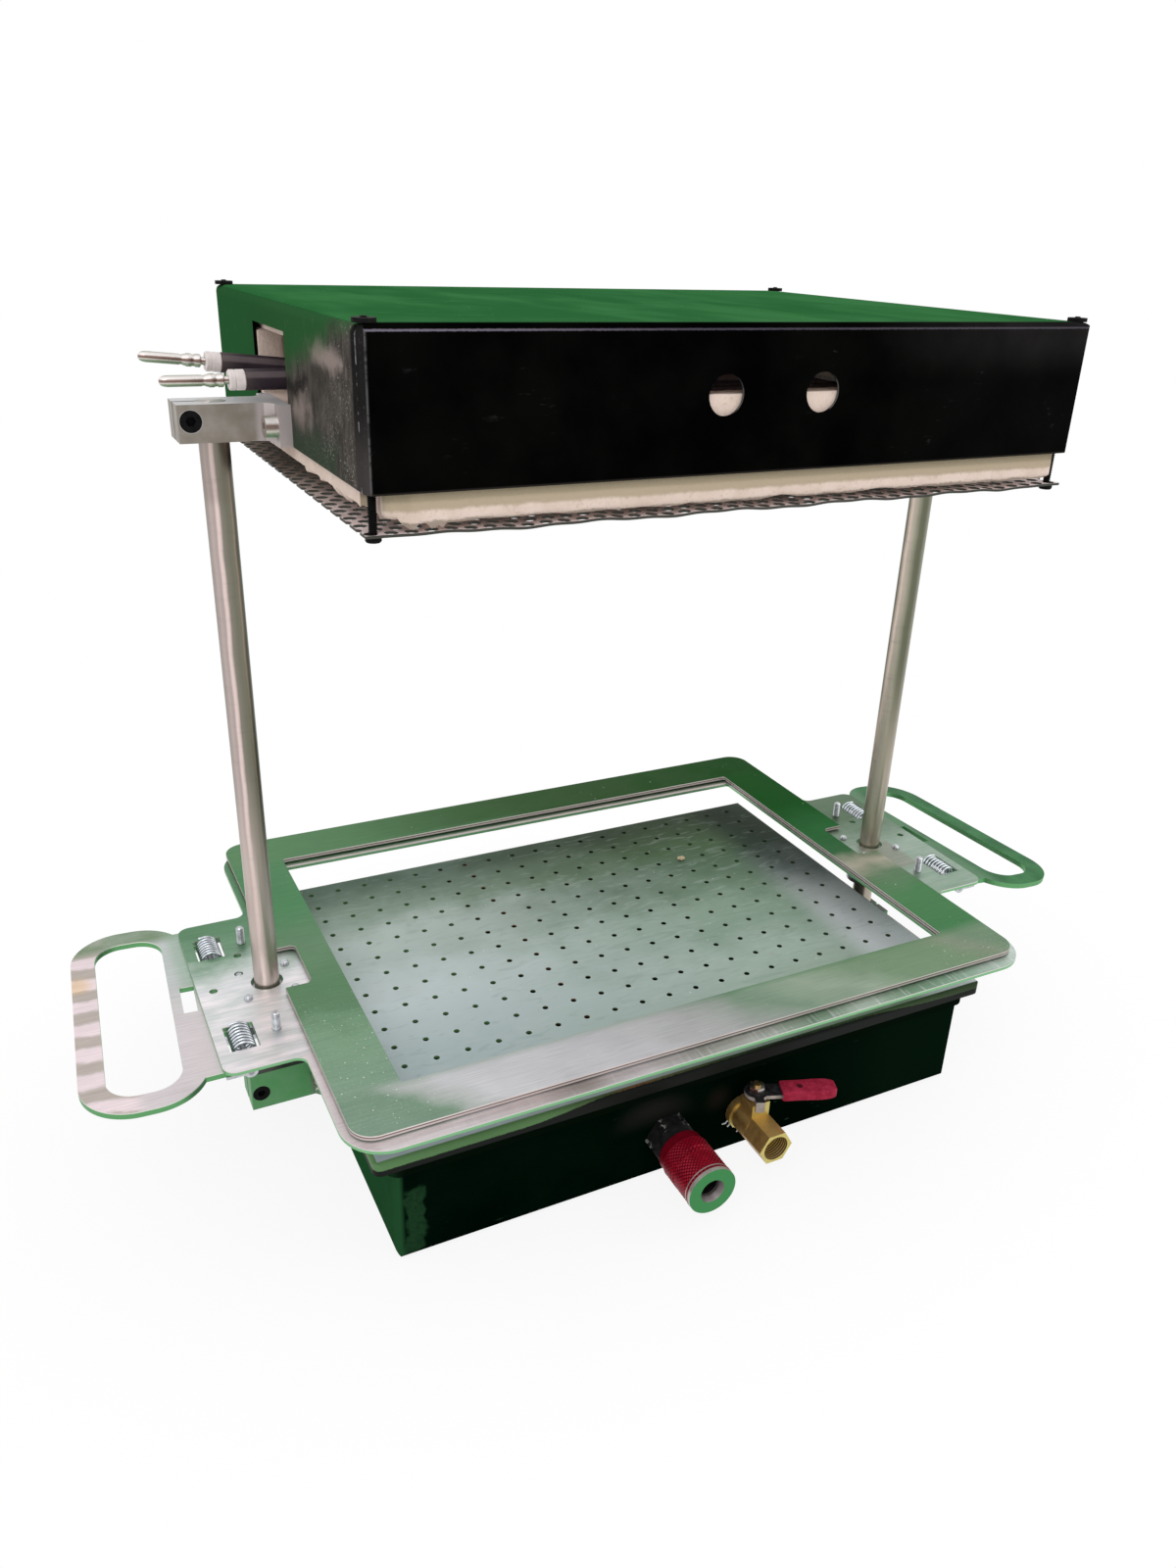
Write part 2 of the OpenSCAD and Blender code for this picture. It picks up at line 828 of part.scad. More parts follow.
module heating_element() {
    straight = element_cross - element_corner_r;
    color([0.12, 0.08, 0.1]) {
        element_run(0, -element_left, straight);
        element_run(1, -element_left, element_right);
        element_run(2, -end_bend_x, element_right);
        element_run(3, -end_bend_x, element_right);
        element_run(4, -element_left, element_right);
        element_run(5, -element_left, straight);
        element_bend(element_right, (run_y[1] + run_y[2]) / 2, (run_y[2] - run_y[1]) / 2, -90, 180);
        element_bend(-element_left, (run_y[0] + run_y[1]) / 2, (run_y[1] - run_y[0]) / 2, 90, 180);
        element_bend(straight, run_y[0] + element_corner_r, element_corner_r, -90, 90);
        element_bend(straight, run_y[5] - element_corner_r, element_corner_r, 0, 90);
        element_bend(-element_left, (run_y[4] + run_y[5]) / 2, (run_y[5] - run_y[4]) / 2, 90, 180);
        element_bend(element_right, (run_y[3] + run_y[4]) / 2, (run_y[4] - run_y[3]) / 2, -90, 180);
        translate([element_cross, run_y[5] - element_corner_r, element_z])
            rod_to_front(sheath_d, run_y[5] - run_y[0] - 2 * element_corner_r);
        for (i = [0, 1])
            at_element_end(i)
                cylinder(d = sheath_d, h = end_sheath_l);
        translate([-end_bend_x, run_y[3], element_z + end_bend_r])
            rotate([90, 0, 0])
                rotate([0, 0, -90 - end_tilt[1]])
                    rotate_extrude(angle = end_tilt[1])
                        translate([end_bend_r, 0])
                            circle(d = sheath_d);
    }
}

module ceramic_beads() {
    color([0.95, 0.95, 0.93])
        for (i = [0, 1])
            at_element_end(i)
                translate([0, 0, end_sheath_l])
                    difference() {
                        cylinder(d = bead_d, h = bead_l);
                        translate([0, 0, -cut])
                            cylinder(d = bead_bore, h = bead_l + 2 * cut, $fn = small_fn);
                    }
}

module bullet_terminals() {
    color([0.75, 0.72, 0.68])
        for (i = [0, 1])
            at_element_end(i)
                translate([0, 0, end_sheath_l])
                    union() {
                        cylinder(d = terminal_pin_d, h = bead_l + terminal_bare_l + crimp_l);
                        translate([0, 0, bead_l + terminal_bare_l])
                            cylinder(d = crimp_d, h = crimp_l);
                        translate([0, 0, bead_l + terminal_bare_l + crimp_l])
                            cylinder(d = bullet_d, h = bullet_l - bullet_d / 2);
                        translate([0, 0, bead_l + terminal_bare_l + crimp_l + bullet_l - bullet_d / 2])
                            sphere(d = bullet_d);
                    }
}

// Repeats a piece where the runs of the element cross the two rails
module at_clips() {
    for (side = [-1, 1], y = run_y)
        translate([side * rail_x, y, 0])
            children();
}

module element_rails() {
    rail_l = hood_d - 2 * hood_t - 2 * board_gap - 2 * rail_end;
    leg_y = sheath_d / 2 + clip_gap + clip_wire / 2;
    color([0.6, 0.6, 0.6])
        difference() {
            for (side = [-1, 1])
                translate([side * rail_x - rail_w / 2, -rail_l / 2, front_board_top])
                    cube([rail_w, rail_l, rail_t]);
            at_clips()
                for (s = [-1, 1])
                    translate([0, s * leg_y, front_board_top - cut])
                        cylinder(d = clip_wire + 2 * clip_gap, h = rail_t + 2 * cut, $fn = small_fn);
        }
}

module element_clips() {
    leg_y = sheath_d / 2 + clip_gap + clip_wire / 2;
    color([0.6, 0.6, 0.6])
        at_clips()
            translate([0, 0, element_z]) {
                rotate([0, 90, 0])
                    rotate([0, 0, -90])
                        rotate_extrude(angle = 180)
                            translate([leg_y, 0])
                                circle(d = clip_wire, $fn = small_fn);
                for (s = [-1, 1])
                    translate([0, s * leg_y, 0])
                        cylinder(d = clip_wire, h = sheath_d / 2 + rail_t + clip_stand, $fn = small_fn);
            }
}

module mesh_guard() {
    row_step = guard_pitch * sin(60);
    rows = floor((guard_d / 2 - guard_edge - guard_hole_d / 2) / row_step);
    color([0.45, 0.42, 0.42])
        difference() {
            translate([0, 0, guard_z])
                linear_extrude(height = guard_t)
                    rounded_rect(guard_w, guard_d, guard_r);
            for (j = [-rows : rows])
                guard_row(j * row_step, abs(j) % 2 == 1 ? guard_pitch / 2 : 0);
            at_corners()
                translate([0, 0, guard_z - cut])
                    cylinder(d = guard_bolt_d + 2 * screw_gap, h = guard_t + 2 * cut, $fn = small_fn);
        }
}

// One row of guard holes, kept off the sheet's edge and off the corner bolts
module guard_row(y, start) {
    reach = guard_w / 2 - guard_edge - guard_hole_d / 2;
    columns = floor((reach - start) / guard_pitch);
    near_bolt = abs(y) > bolt_corner_y - guard_hole_d;
    for (i = [start > 0 ? -columns - 1 : -columns : columns])
        let (x = start + i * guard_pitch)
            if (!near_bolt || abs(x) < bolt_corner_x - guard_hole_d)
                translate([x, y, guard_z - cut])
                    cylinder(d = guard_hole_d, h = guard_t + 2 * cut, $fn = small_fn);
}

module guard_bolts() {
    top_z = hood_top_z + guard_nut_h + guard_bolt_stand;
    color([0.05, 0.05, 0.05])
        at_corners()
            union() {
                translate([0, 0, guard_z - guard_head_h])
                    cylinder(d = guard_head_d, h = guard_head_h);
                translate([0, 0, guard_z - guard_head_h])
                    cylinder(d = guard_bolt_d, h = top_z - guard_z + guard_head_h, $fn = small_fn);
            }
}

module guard_nuts() {
    color([0.05, 0.05, 0.05])
        at_corners()
            translate([0, 0, hood_top_z])
                difference() {
                    cylinder(d = guard_nut_d, h = guard_nut_h);
                    translate([0, 0, -cut])
                        cylinder(d = guard_bolt_d + 2 * screw_gap, h = guard_nut_h + 2 * cut, $fn = small_fn);
                }
}

// Quick coupler, drawn along +Z and turned towards the front

module at_coupler(l) {
    translate([coupler_x, tray_front - l, coupler_z])
        rotate([90, 0, 0])
            children();
}

module coupler_body() {
    core_l = coupler_l - coupler_ring_l;
    color([0.12, 0.12, 0.13])
        at_coupler(0)
            difference() {
                union() {
                    translate([0, 0, -stub_l - tray_t])
                        cylinder(d = stub_d, h = stub_l + tray_t);
                    cylinder(r = coupler_hex_af / sqrt(3), h = coupler_hex_l, $fn = 6);
                    cylinder(d = coupler_collar_d, h = coupler_hex_l + coupler_collar_l);
                    cylinder(d = coupler_core_d, h = core_l);
                    translate([0, 0, core_l])
                        cylinder(d = coupler_d, h = coupler_ring_l);
                }
                translate([0, 0, coupler_l - coupler_mouth_l - coupler_bore_l])
                    cylinder(r = coupler_bore_r, h = coupler_bore_l + coupler_mouth_l);
                translate([0, 0, coupler_l - coupler_mouth_l])
                    cylinder(r1 = coupler_bore_r, r2 = coupler_mouth_r, h = coupler_mouth_l);
                translate([0, 0, -stub_l - tray_t - cut])
                    cylinder(r = coupler_through_r, h = coupler_l);
            }
}

module coupler_sleeve() {
    start = coupler_hex_l + coupler_collar_l - sleeve_start_gap;
    l = coupler_l - coupler_ring_l - sleeve_end_gap - start;
    color([0.55, 0.02, 0.06])
        at_coupler(start)
            difference() {
                cylinder(d = coupler_d, h = l);
                translate([0, 0, -cut])
                    cylinder(d = coupler_collar_d + 2 * sleeve_bore_gap, h = l - sleeve_land_l + cut);
                translate([0, 0, -cut])
                    cylinder(d = coupler_core_d + 2 * sleeve_fit, h = l + 2 * cut);
                for (share = sleeve_groove_shares)
                    translate([0, 0, share * l])
                        rotate_extrude()
                            translate([coupler_d / 2 - sleeve_groove_deep, 0])
                                square([sleeve_groove_deep + cut, sleeve_groove_l]);
            }
}

module coupler_spring() {
    start = coupler_hex_l + coupler_collar_l;
    land = coupler_l - coupler_ring_l - sleeve_end_gap - sleeve_land_l;
    end = land - sleeve_travel - spring_wall_gap;
    color([0.6, 0.6, 0.6])
        at_coupler(start)
            difference() {
                cylinder(d = coupler_collar_d, h = end - start);
                translate([0, 0, -cut])
                    cylinder(d = coupler_core_d + 2 * spring_wall_gap, h = end - start + 2 * cut);
            }
}

// Ball valve, drawn along +Z and turned towards the front

module at_valve() {
    translate([valve_x, tray_front, valve_z])
        rotate([90, 0, 0])
            children();
}

// Puts a piece on the upright axis of the valve's stem
module at_stem() {
    translate([valve_x, tray_front - valve_stem_y, valve_z])
        children();
}

module valve_body() {
    hex_start = valve_l - valve_hex_l;
    color([0.78, 0.6, 0.25])
        difference() {
            union() {
                at_valve()
                    union() {
                        translate([0, 0, -stub_l - tray_t])
                            cylinder(d = stub_d, h = stub_l + tray_t);
                        cylinder(d = valve_block_d, h = valve_rear_l);
                        cylinder(d = valve_neck_d, h = valve_rear_l + valve_neck_l);
                        translate([0, 0, valve_rear_l + valve_neck_l])
                            cylinder(d = valve_mid_d, h = hex_start - valve_rear_l - valve_neck_l);
                        translate([0, 0, hex_start])
                            cylinder(r = valve_af / sqrt(3), h = valve_hex_l, $fn = 6);
                    }
                at_stem()
                    translate([-bonnet_w / 2, -bonnet_w / 2, 0])
                        cube([bonnet_w, bonnet_w, bonnet_top]);
            }
            at_valve()
                union() {
                    translate([0, 0, valve_l - valve_port_l])
                        cylinder(r = valve_port_r, h = valve_port_l + cut);
                    translate([0, 0, -stub_l - tray_t - cut])
                        cylinder(r = valve_way_r, h = valve_l + stub_l);
                    translate([0, 0, valve_stem_y - seat_near - seat_l - ball_gap])
                        cylinder(r = seat_outer_r + screw_gap, h = 2 * (seat_near + seat_l + ball_gap));
                }
            at_stem()
                union() {
                    sphere(d = ball_d + 2 * ball_gap);
                    cylinder(d = stem_d + 2 * stem_gap, h = bonnet_top + cut);
                }
        }
}

module valve_seats() {
    color([0.95, 0.95, 0.95])
        at_valve()
            for (s = [-1, 1])
                translate([0, 0, valve_stem_y + s * (seat_near + seat_l / 2) - seat_l / 2])
                    difference() {
                        cylinder(r = seat_outer_r, h = seat_l);
                        translate([0, 0, -cut])
                            cylinder(r = seat_inner_r, h = seat_l + 2 * cut);
                    }
}

module valve_ball() {
    color([0.8, 0.8, 0.8])
        at_stem()
            rotate([0, 0, lever_turn])
                difference() {
                    sphere(d = ball_d);
                    translate([-ball_d, 0, 0])
                        rod_along_x(2 * valve_way_r, 2 * ball_d);
                    translate([-ball_d / 2, -ball_d / 2, ball_flat])
                        cube([ball_d, ball_d, ball_d]);
                }
}

module valve_stem() {
    nut_z = bonnet_top + lever_lift + lever_t;
    color([0.75, 0.7, 0.6])
        at_stem()
            union() {
                translate([0, 0, ball_flat])
                    cylinder(d = stem_d, h = bonnet_top + lever_lift - ball_flat);
                cylinder_from(ball_flat, nut_z + stem_nut_h + stem_stand, stem_top_d);
            }
}

// Upright cylinder between two heights
module cylinder_from(z0, z1, d) {
    translate([0, 0, z0])
        cylinder(d = d, h = z1 - z0);
}

module valve_lever() {
    z = bonnet_top + lever_lift;
    reach = bonnet_w * sqrt(2) / 2 + stop_tab_gap;
    color([0.1, 0.1, 0.1])
        at_stem()
            rotate([0, 0, lever_turn])
                difference() {
                    union() {
                        translate([0, 0, z])
                            linear_extrude(height = lever_t) {
                                circle(d = lever_hub_d);
                                translate([0, -lever_w / 2])
                                    square([valve_lever_l - lever_w / 2, lever_w]);
                                translate([valve_lever_l - lever_w / 2, 0])
                                    circle(d = lever_w);
                                translate([-lever_w / 4, -reach - stop_tab_t])
                                    square([lever_w / 2, reach + stop_tab_t]);
                            }
                        translate([-lever_w / 4, -reach - stop_tab_t, z - stop_tab_l])
                            cube([lever_w / 2, stop_tab_t, stop_tab_l + lever_t]);
                    }
                    translate([0, 0, z - cut])
                        cylinder(d = stem_top_d + 2 * stem_gap, h = lever_t + 2 * cut);
                }
}

module lever_grip() {
    z = bonnet_top + lever_lift + lever_t / 2 - grip_thick / 2;
    wall = (grip_wide - lever_w) / 2;
    end_x = valve_lever_l - lever_w / 2;
    color([0.6, 0.08, 0.15])
        at_stem()
            rotate([0, 0, lever_turn])
                difference() {
                    translate([0, 0, z])
                        linear_extrude(height = grip_thick) {
                            translate([grip_start, -grip_wide / 2])
                                square([end_x - grip_start, grip_wide]);
                            translate([end_x, 0])
                                circle(d = grip_wide);
                        }
                    translate([0, 0, bonnet_top + lever_lift - grip_fit])
                        linear_extrude(height = lever_t + 2 * grip_fit) {
                            translate([grip_start - cut, -lever_w / 2 - grip_fit])
                                square([end_x - grip_start + cut, lever_w + 2 * grip_fit]);
                            translate([end_x, 0])
                                circle(d = grip_wide - 2 * wall + 2 * grip_fit);
                        }
                }
}

module valve_nut() {
    color([0.85, 0.83, 0.8])
        at_stem()
            translate([0, 0, bonnet_top + lever_lift + lever_t])
                difference() {
                    cylinder(r = stem_nut_af / sqrt(3), h = stem_nut_h, $fn = 6);
                    translate([0, 0, -cut])
                        cylinder(d = stem_top_d + 2 * stem_gap, h = stem_nut_h + 2 * cut);
                }
}

module bulkhead_nuts() {
    color([0.75, 0.72, 0.6])
        for (p = [[coupler_x, coupler_z], [valve_x, valve_z]])
            translate([p[0], tray_front + tray_t + bulkhead_h, p[1]])
                rotate([90, 0, 0])
                    difference() {
                        cylinder(r = bulkhead_af / sqrt(3), h = bulkhead_h, $fn = 6);
                        translate([0, 0, -cut])
                            cylinder(d = stub_d + 2 * screw_gap, h = bulkhead_h + 2 * cut);
                    }
}

// Clamp frame carriage

// Repeats a right-hand piece at both hinges of both sides, or of one side
module at_hinges(sides) {
    for (side = sides, sy = [-1, 1])
        on_side(side)
            translate([hinge_x, sy * hinge_y, pin_z])
                children();
}

module frame_outline() {
    ear_x = frame_w / 2;
    rounded_rect(frame_w, frame_d, frame_corner_r);
    rounded_rect(frame_w + 2 * ear_out, ear_d, ear_r);
    for (a = [0, 1], b = [0, 1])
        mirror([a, 0])
            mirror([0, b])
                translate([ear_x, ear_d / 2])
                    difference() {
                        square(ear_fillet);
                        translate([ear_fillet, ear_fillet])
                            circle(r = ear_fillet);
                    }
}

module lower_frame() {
    color([0.5, 0.6, 0.52])
        difference() {
            translate([0, 0, carriage_z])
                linear_extrude(height = frame_t)
                    frame_outline();
            translate([0, 0, carriage_z - cut])
                linear_extrude(height = frame_t + 2 * cut)
                    rounded_rect(window_w, window_d, window_r);
            for (side = [-1, 1])
                on_side(side)
                    ear_cuts();
        }
}

// Everything that is cut through the right-hand ear
module ear_cuts() {
    h = frame_t + 2 * cut;
    translate([rod_x, 0, carriage_z - cut]) {
        cylinder(d = rod_hole_d, h = h);
        for (sx = [-1, 1], sy = [-1, 1])
            translate([sx * bush_pattern, sy * bush_pattern, 0])
                cylinder(d = bush_screw_d + 2 * screw_gap, h = h, $fn = small_fn);
        for (p = [ear_hole_near, ear_hole_far])
            translate([p[0], p[1], 0])
                cylinder(d = ear_hole_d, h = h, $fn = small_fn);
        for (sy = [-1, 1]) {
            translate([hinge_out - stud_in, sy * hinge_y, 0])
                cylinder(d = stud_d + 2 * screw_gap, h = h, $fn = small_fn);
            translate([hinge_out - spring_window_w / 2, sy * hinge_y - spring_window_l / 2, 0])
                cube([spring_window_w, spring_window_l, h]);
        }
    }
}

module clamp_gasket() {
    mid_y = (grip_back - grip_front) / 2;
    inner_d = grip_back + grip_front;
    color([0.1, 0.1, 0.1])
        translate([0, mid_y, frame_top_z])
            linear_extrude(height = grip_t)
                difference() {
                    square([2 * grip_side + 2 * grip_w, inner_d + 2 * grip_w], center = true);
                    square([2 * grip_side, inner_d], center = true);
                }
}

module upper_ring() {
    notch_d = ring_notch_front + ring_notch_back;
    color([0.4, 0.55, 0.42])
        difference() {
            translate([0, ring_shift_y, ring_z])
                linear_extrude(height = ring_t)
                    difference() {
                        rounded_rect(ring_w, ring_d, ring_corner_r);
                        rounded_rect(window_w, window_d, window_r);
                    }
            for (s = [-1, 1])
                translate([s * ring_w / 2, (ring_notch_back - ring_notch_front) / 2, ring_z - cut])
                    linear_extrude(height = ring_t + 2 * cut)
                        rounded_rect(2 * ring_notch_in, notch_d, ring_notch_r);
        }
}

module rod_bush(side) {
    color([0.6, 0.6, 0.62])
        translate([side * rod_x, 0, 0])
            difference() {
                union() {
                    translate([0, 0, carriage_z - bush_flange_t])
                        linear_extrude(height = bush_flange_t)
                            intersection() {
                                square(bush_flange_w, center = true);
                                circle(d = bush_flange_d);
                            }
                    translate([0, 0, carriage_z - bush_l])
                        cylinder(d = bush_d, h = bush_l);
                }
                translate([0, 0, carriage_z - bush_l - cut])
                    cylinder(d = rod_d + 2 * bush_fit, h = bush_l + 2 * cut);
                for (sx = [-1, 1], sy = [-1, 1])
                    translate([sx * bush_pattern, sy * bush_pattern, carriage_z - bush_flange_t - cut])
                        cylinder(d = bush_screw_d + 2 * screw_gap, h = bush_flange_t + 2 * cut, $fn = small_fn);
            }
}

// Screws up through each bush flange; the outer rear one ends just below the ear's face
module bush_screws() {
    under_z = carriage_z - bush_flange_t - bush_screw_head_h;
    color([0.8, 0.8, 0.8])
        for (side = [-1, 1], sx = [-1, 1], sy = [-1, 1])
            on_side(side)
                translate([rod_x + sx * bush_pattern, sy * bush_pattern, 0]) {
                    flush = sx > 0 && sy > 0;
                    end_z = frame_top_z + (flush ? -bush_screw_flush : bush_screw_stand);
                    cylinder_from(under_z, under_z + bush_screw_head_h, bush_screw_head_d);
                    cylinder_from(under_z, end_z, bush_screw_d, $fn = small_fn);
                }
}

// Two tube knuckles of a hinge, on either side of its spring
module knuckles(from_middle, bore_d) {
    for (s = [-1, 1])
        translate([0, s * (from_middle + knuckle_l / 2) + knuckle_l / 2, 0])
            rotate([90, 0, 0])
                difference() {
                    cylinder(d = knuckle_d, h = knuckle_l);
                    translate([0, 0, -cut])
                        cylinder(d = bore_d, h = knuckle_l + 2 * cut);
                }
}

// Removes the bore of the knuckles from the tabs that reach them
module pin_clearance(d) {
    translate([0, station_l / 2 + cut, 0])
        rod_to_front(d, station_l + 2 * cut);
}

module fixed_leaves() {
    half_l = inner_knuckle + knuckle_l;
    bore_d = pin_d + 2 * arm_fit;
    color([0.75, 0.76, 0.78])
        at_hinges([-1, 1])
            difference() {
                union() {
                    knuckles(inner_knuckle, bore_d);
                    translate([-leaf_inner, -half_l, pin_drop - leaf_t])
                        cube([leaf_inner, 2 * half_l, leaf_t]);
                }
                translate([-spring_window_w / 2, -inner_knuckle, pin_drop - leaf_t - cut])
                    cube([spring_window_w, 2 * inner_knuckle, leaf_t + 2 * cut]);
                pin_clearance(bore_d);
                translate([-stud_in, 0, pin_drop - leaf_t - cut])
                    cylinder(d = stud_d + 2 * screw_gap, h = leaf_t + 2 * cut, $fn = small_fn);
            }
}

module hinge_pins() {
    color([0.7, 0.7, 0.72])
        at_hinges([-1, 1])
            translate([0, station_l / 2, 0])
                rod_to_front(pin_d, station_l);
}

// Points along a spring's centre line: curls about Y, with a straight leg at each end
function curl_angle(i) = -90 - spring_leg_tilt - i * 360 / spring_rings;
spring_r = (spring_d - spring_wire) / 2;
spring_steps = spring_curls * spring_rings;
function curl_point(i) = [
    spring_r * cos(curl_angle(i)),
    -spring_l / 2 + spring_wire / 2 + (spring_l - spring_wire) * i / spring_steps,
    spring_r * sin(curl_angle(i))
];
function unit(v) = v / norm(v);
function leg_point(i, l) = curl_point(i) + l * [sin(curl_angle(i)), 0, -cos(curl_angle(i))];
spring_path = concat(
    [leg_point(0, -spring_long_leg)],
    [for (i = [0 : spring_steps]) curl_point(i)],
    [leg_point(spring_steps, spring_leg)]
);

// Ring of points square to the path at one of its points
function path_way(path, i) = unit(path[min(i + 1, len(path) - 1)] - path[max(i - 1, 0)]);
function ring_points(path, i, d) =
    let (
        way = path_way(path, i),
        side = unit(cross(way, [0, 1, 0])),
        up = cross(side, way)
    )
    [for (k = [0 : spring_sides - 1])
        path[i] + d / 2 * (cos(k * 360 / spring_sides) * side + sin(k * 360 / spring_sides) * up)];

// Tube swept along a path, its walls made of triangles
module swept_tube(path, d) {
    n = spring_sides;
    last = len(path) - 1;
    points = [for (i = [0 : last]) each ring_points(path, i, d)];
    walls = [for (i = [0 : last - 1], k = [0 : n - 1])
        let (a = i * n + k, b = i * n + (k + 1) % n)
        each [[a, a + n, b], [b, a + n, b + n]]];
    ends = [for (k = [1 : n - 2])
        each [[0, k, k + 1], [last * n, last * n + k + 1, last * n + k]]];
    polyhedron(points = points, faces = concat(walls, ends), convexity = 4);
}

module hinge_springs() {
    lift = spring_r - spring_wire / 2 - pin_d / 2 - spring_rest;
    gap = min([for (i = [0 : spring_steps - spring_rings])
        norm(curl_point(i + spring_rings) - curl_point(i))]) - spring_wire;
    echo("least gap between the curls of a hinge spring", gap);
    color([0.82, 0.84, 0.86])
        at_hinges([-1, 1])
            translate([0, 0, lift])
                swept_tube(spring_path, spring_wire);
}

module hinge_studs() {
    head_z = pin_drop - leaf_t - stud_head_h;
    color([0.8, 0.8, 0.8])
        at_hinges([-1, 1])
            translate([-stud_in, 0, 0]) {
                cylinder_from(head_z, head_z + stud_head_h, stud_head_d);
                cylinder_from(head_z, pin_drop + frame_t + stud_stand, stud_d, $fn = small_fn);
            }
}

// Handles

// Outline of a right-hand handle: neck under the ear and a splayed loop outside it
module handle_plan() {
    neck_x = hinge_x + handle_inner;
    difference() {
        union() {
            translate([rod_x + loop_out, loop_y])
                rotate([0, 0, loop_splay])
                    rounded_rect(loop_w + 2 * loop_bar, loop_d + 2 * loop_bar, loop_r + loop_bar);
            translate([neck_x, -handle_neck_front])
                square([handle_neck, handle_neck_front + handle_neck_back]);
        }
        translate([rod_x + loop_out, loop_y])
            rotate([0, 0, loop_splay])
                rounded_rect(loop_w, loop_d, loop_r);
        translate([rod_x + slot_out, slot_y])
            rotate([0, 0, loop_splay])
                square([slot_w, slot_l], center = true);
        for (sy = [-1, 1])
            translate([hinge_x, sy * hinge_y]) {
                translate([0, -station_l / 2 - knuckle_gap])
                    square([knuckle_d / 2 + handle_knuckle_gap, station_l + 2 * knuckle_gap]);
                translate([0, -spring_window_l / 2])
                    square([spring_d / 2 + spring_cut_gap, spring_window_l]);
                for (s = [-1, 1])
                    translate([rivet_out, s * outer_knuckle])
                        circle(d = rivet_d + 2 * screw_gap, $fn = small_fn);
            }
        for (s = [-1, 1])
            translate([hinge_x + yoke_screw_out, s * yoke_screw_y])
                circle(d = yoke_screw_d + 2 * screw_gap, $fn = small_fn);
    }
}

// Right-hand handle plate, bent down outside the ear by the given angle
module handle_plate(bend) {
    bend_x = rod_x + bend_out;
    reach = loop_out + loop_w + loop_d;
    translate([0, 0, handle_z])
        linear_extrude(height = handle_t)
            intersection() {
                handle_plan();
                translate([0, -reach])
                    square([bend_x, 2 * reach]);
            }
    translate([bend_x, 0, handle_top_z])
        rotate([0, bend, 0])
            translate([-bend_x, 0, -handle_t])
                linear_extrude(height = handle_t)
                    intersection() {
                        handle_plan();
                        translate([bend_x, -reach])
                            square([reach, 2 * reach]);
                    }
}

module handle_left() {
    color([0.72, 0.7, 0.7])
        on_side(-1)
            handle_plate(0);
}

module handle_right() {
    color([0.2, 0.45, 0.27])
        handle_plate(right_bend);
}

// Leaves that hold a handle to its hinges, under the plate
module moving_leaves(side) {
    half_l = outer_knuckle + knuckle_l;
    bore_d = pin_d + 2 * knuckle_fit;
    top = handle_z - pin_z;
    inner_x = knuckle_d / 2 + leaf_edge_gap;
    color([0.75, 0.76, 0.78])
        at_hinges([side])
            difference() {
                union() {
                    knuckles(outer_knuckle, bore_d);
                    translate([inner_x, -half_l, top - leaf_t])
                        cube([leaf_outer - inner_x, 2 * half_l, leaf_t]);
                    for (s = [-1, 1])
                        translate([0, s * (outer_knuckle + knuckle_l / 2) - knuckle_l / 2, top - leaf_t])
                            cube([leaf_outer, knuckle_l, leaf_t]);
                }
                translate([0, -inner_knuckle, top - leaf_t - cut])
                    cube([spring_d / 2 + spring_cut_gap, 2 * inner_knuckle, leaf_t + 2 * cut]);
                pin_clearance(bore_d);
                for (s = [-1, 1])
                    translate([rivet_out, s * outer_knuckle, top - leaf_t - cut])
                        cylinder(d = rivet_d + 2 * screw_gap, h = leaf_t + 2 * cut, $fn = small_fn);
            }
}

module leaf_rivets(side) {
    top = handle_z - pin_z;
    color([0.8, 0.8, 0.8])
        at_hinges([side])
            for (s = [-1, 1])
                translate([rivet_out, s * outer_knuckle, 0]) {
                    cylinder_from(top - leaf_t - rivet_head_h, top - leaf_t, rivet_head_d);
                    cylinder_from(top - leaf_t - rivet_head_h, top + handle_t, rivet_d, $fn = small_fn);
                }
}

// Bracket under a handle with a slot round the rod; its inner edge grips while the handle is up
module brake_yoke(side) {
    foot_x = hinge_x + handle_inner;
    tongue_x = rod_x - yoke_tongue_in;
    low_z = handle_z - yoke_drop + yoke_foot_t;
    grip_r = rod_d / 2 + yoke_grip_gap;
    color([0.55, 0.56, 0.58])
        on_side(side)
            difference() {
                union() {
                    translate([foot_x, -yoke_w / 2, handle_z - yoke_foot_t])
                        cube([yoke_foot_l, yoke_w, yoke_foot_t]);
                    translate([foot_x, -yoke_w / 2, low_z])
                        cube([yoke_leg_t, yoke_w, handle_z - low_z]);
                    translate([rod_x, 0, low_z])
                        cylinder(r = yoke_tongue_in, h = yoke_tongue_t);
                    translate([rod_x, -yoke_w / 2, low_z])
                        cube([foot_x + yoke_leg_t - rod_x, yoke_w, yoke_tongue_t]);
                }
                for (x = [rod_x, rod_x + yoke_release])
                    translate([x, 0, low_z - cut])
                        cylinder(r = grip_r, h = yoke_tongue_t + 2 * cut);
                translate([rod_x, -grip_r, low_z - cut])
                    cube([yoke_release, 2 * grip_r, yoke_tongue_t + 2 * cut]);
                for (s = [-1, 1])
                    translate([hinge_x + yoke_screw_out, s * yoke_screw_y, handle_z - yoke_foot_t - cut])
                        cylinder(d = yoke_screw_d + 2 * screw_gap, h = yoke_foot_t + 2 * cut, $fn = small_fn);
            }
}

module yoke_screws(side) {
    under_z = handle_z - yoke_foot_t;
    color([0.3, 0.3, 0.3])
        on_side(side)
            for (s = [-1, 1])
                translate([hinge_x + yoke_screw_out, s * yoke_screw_y, 0]) {
                    cylinder_from(under_z - yoke_screw_head_h, under_z, yoke_screw_head_d);
                    cylinder_from(under_z - yoke_screw_head_h, handle_top_z, yoke_screw_d, $fn = small_fn);
                }
}

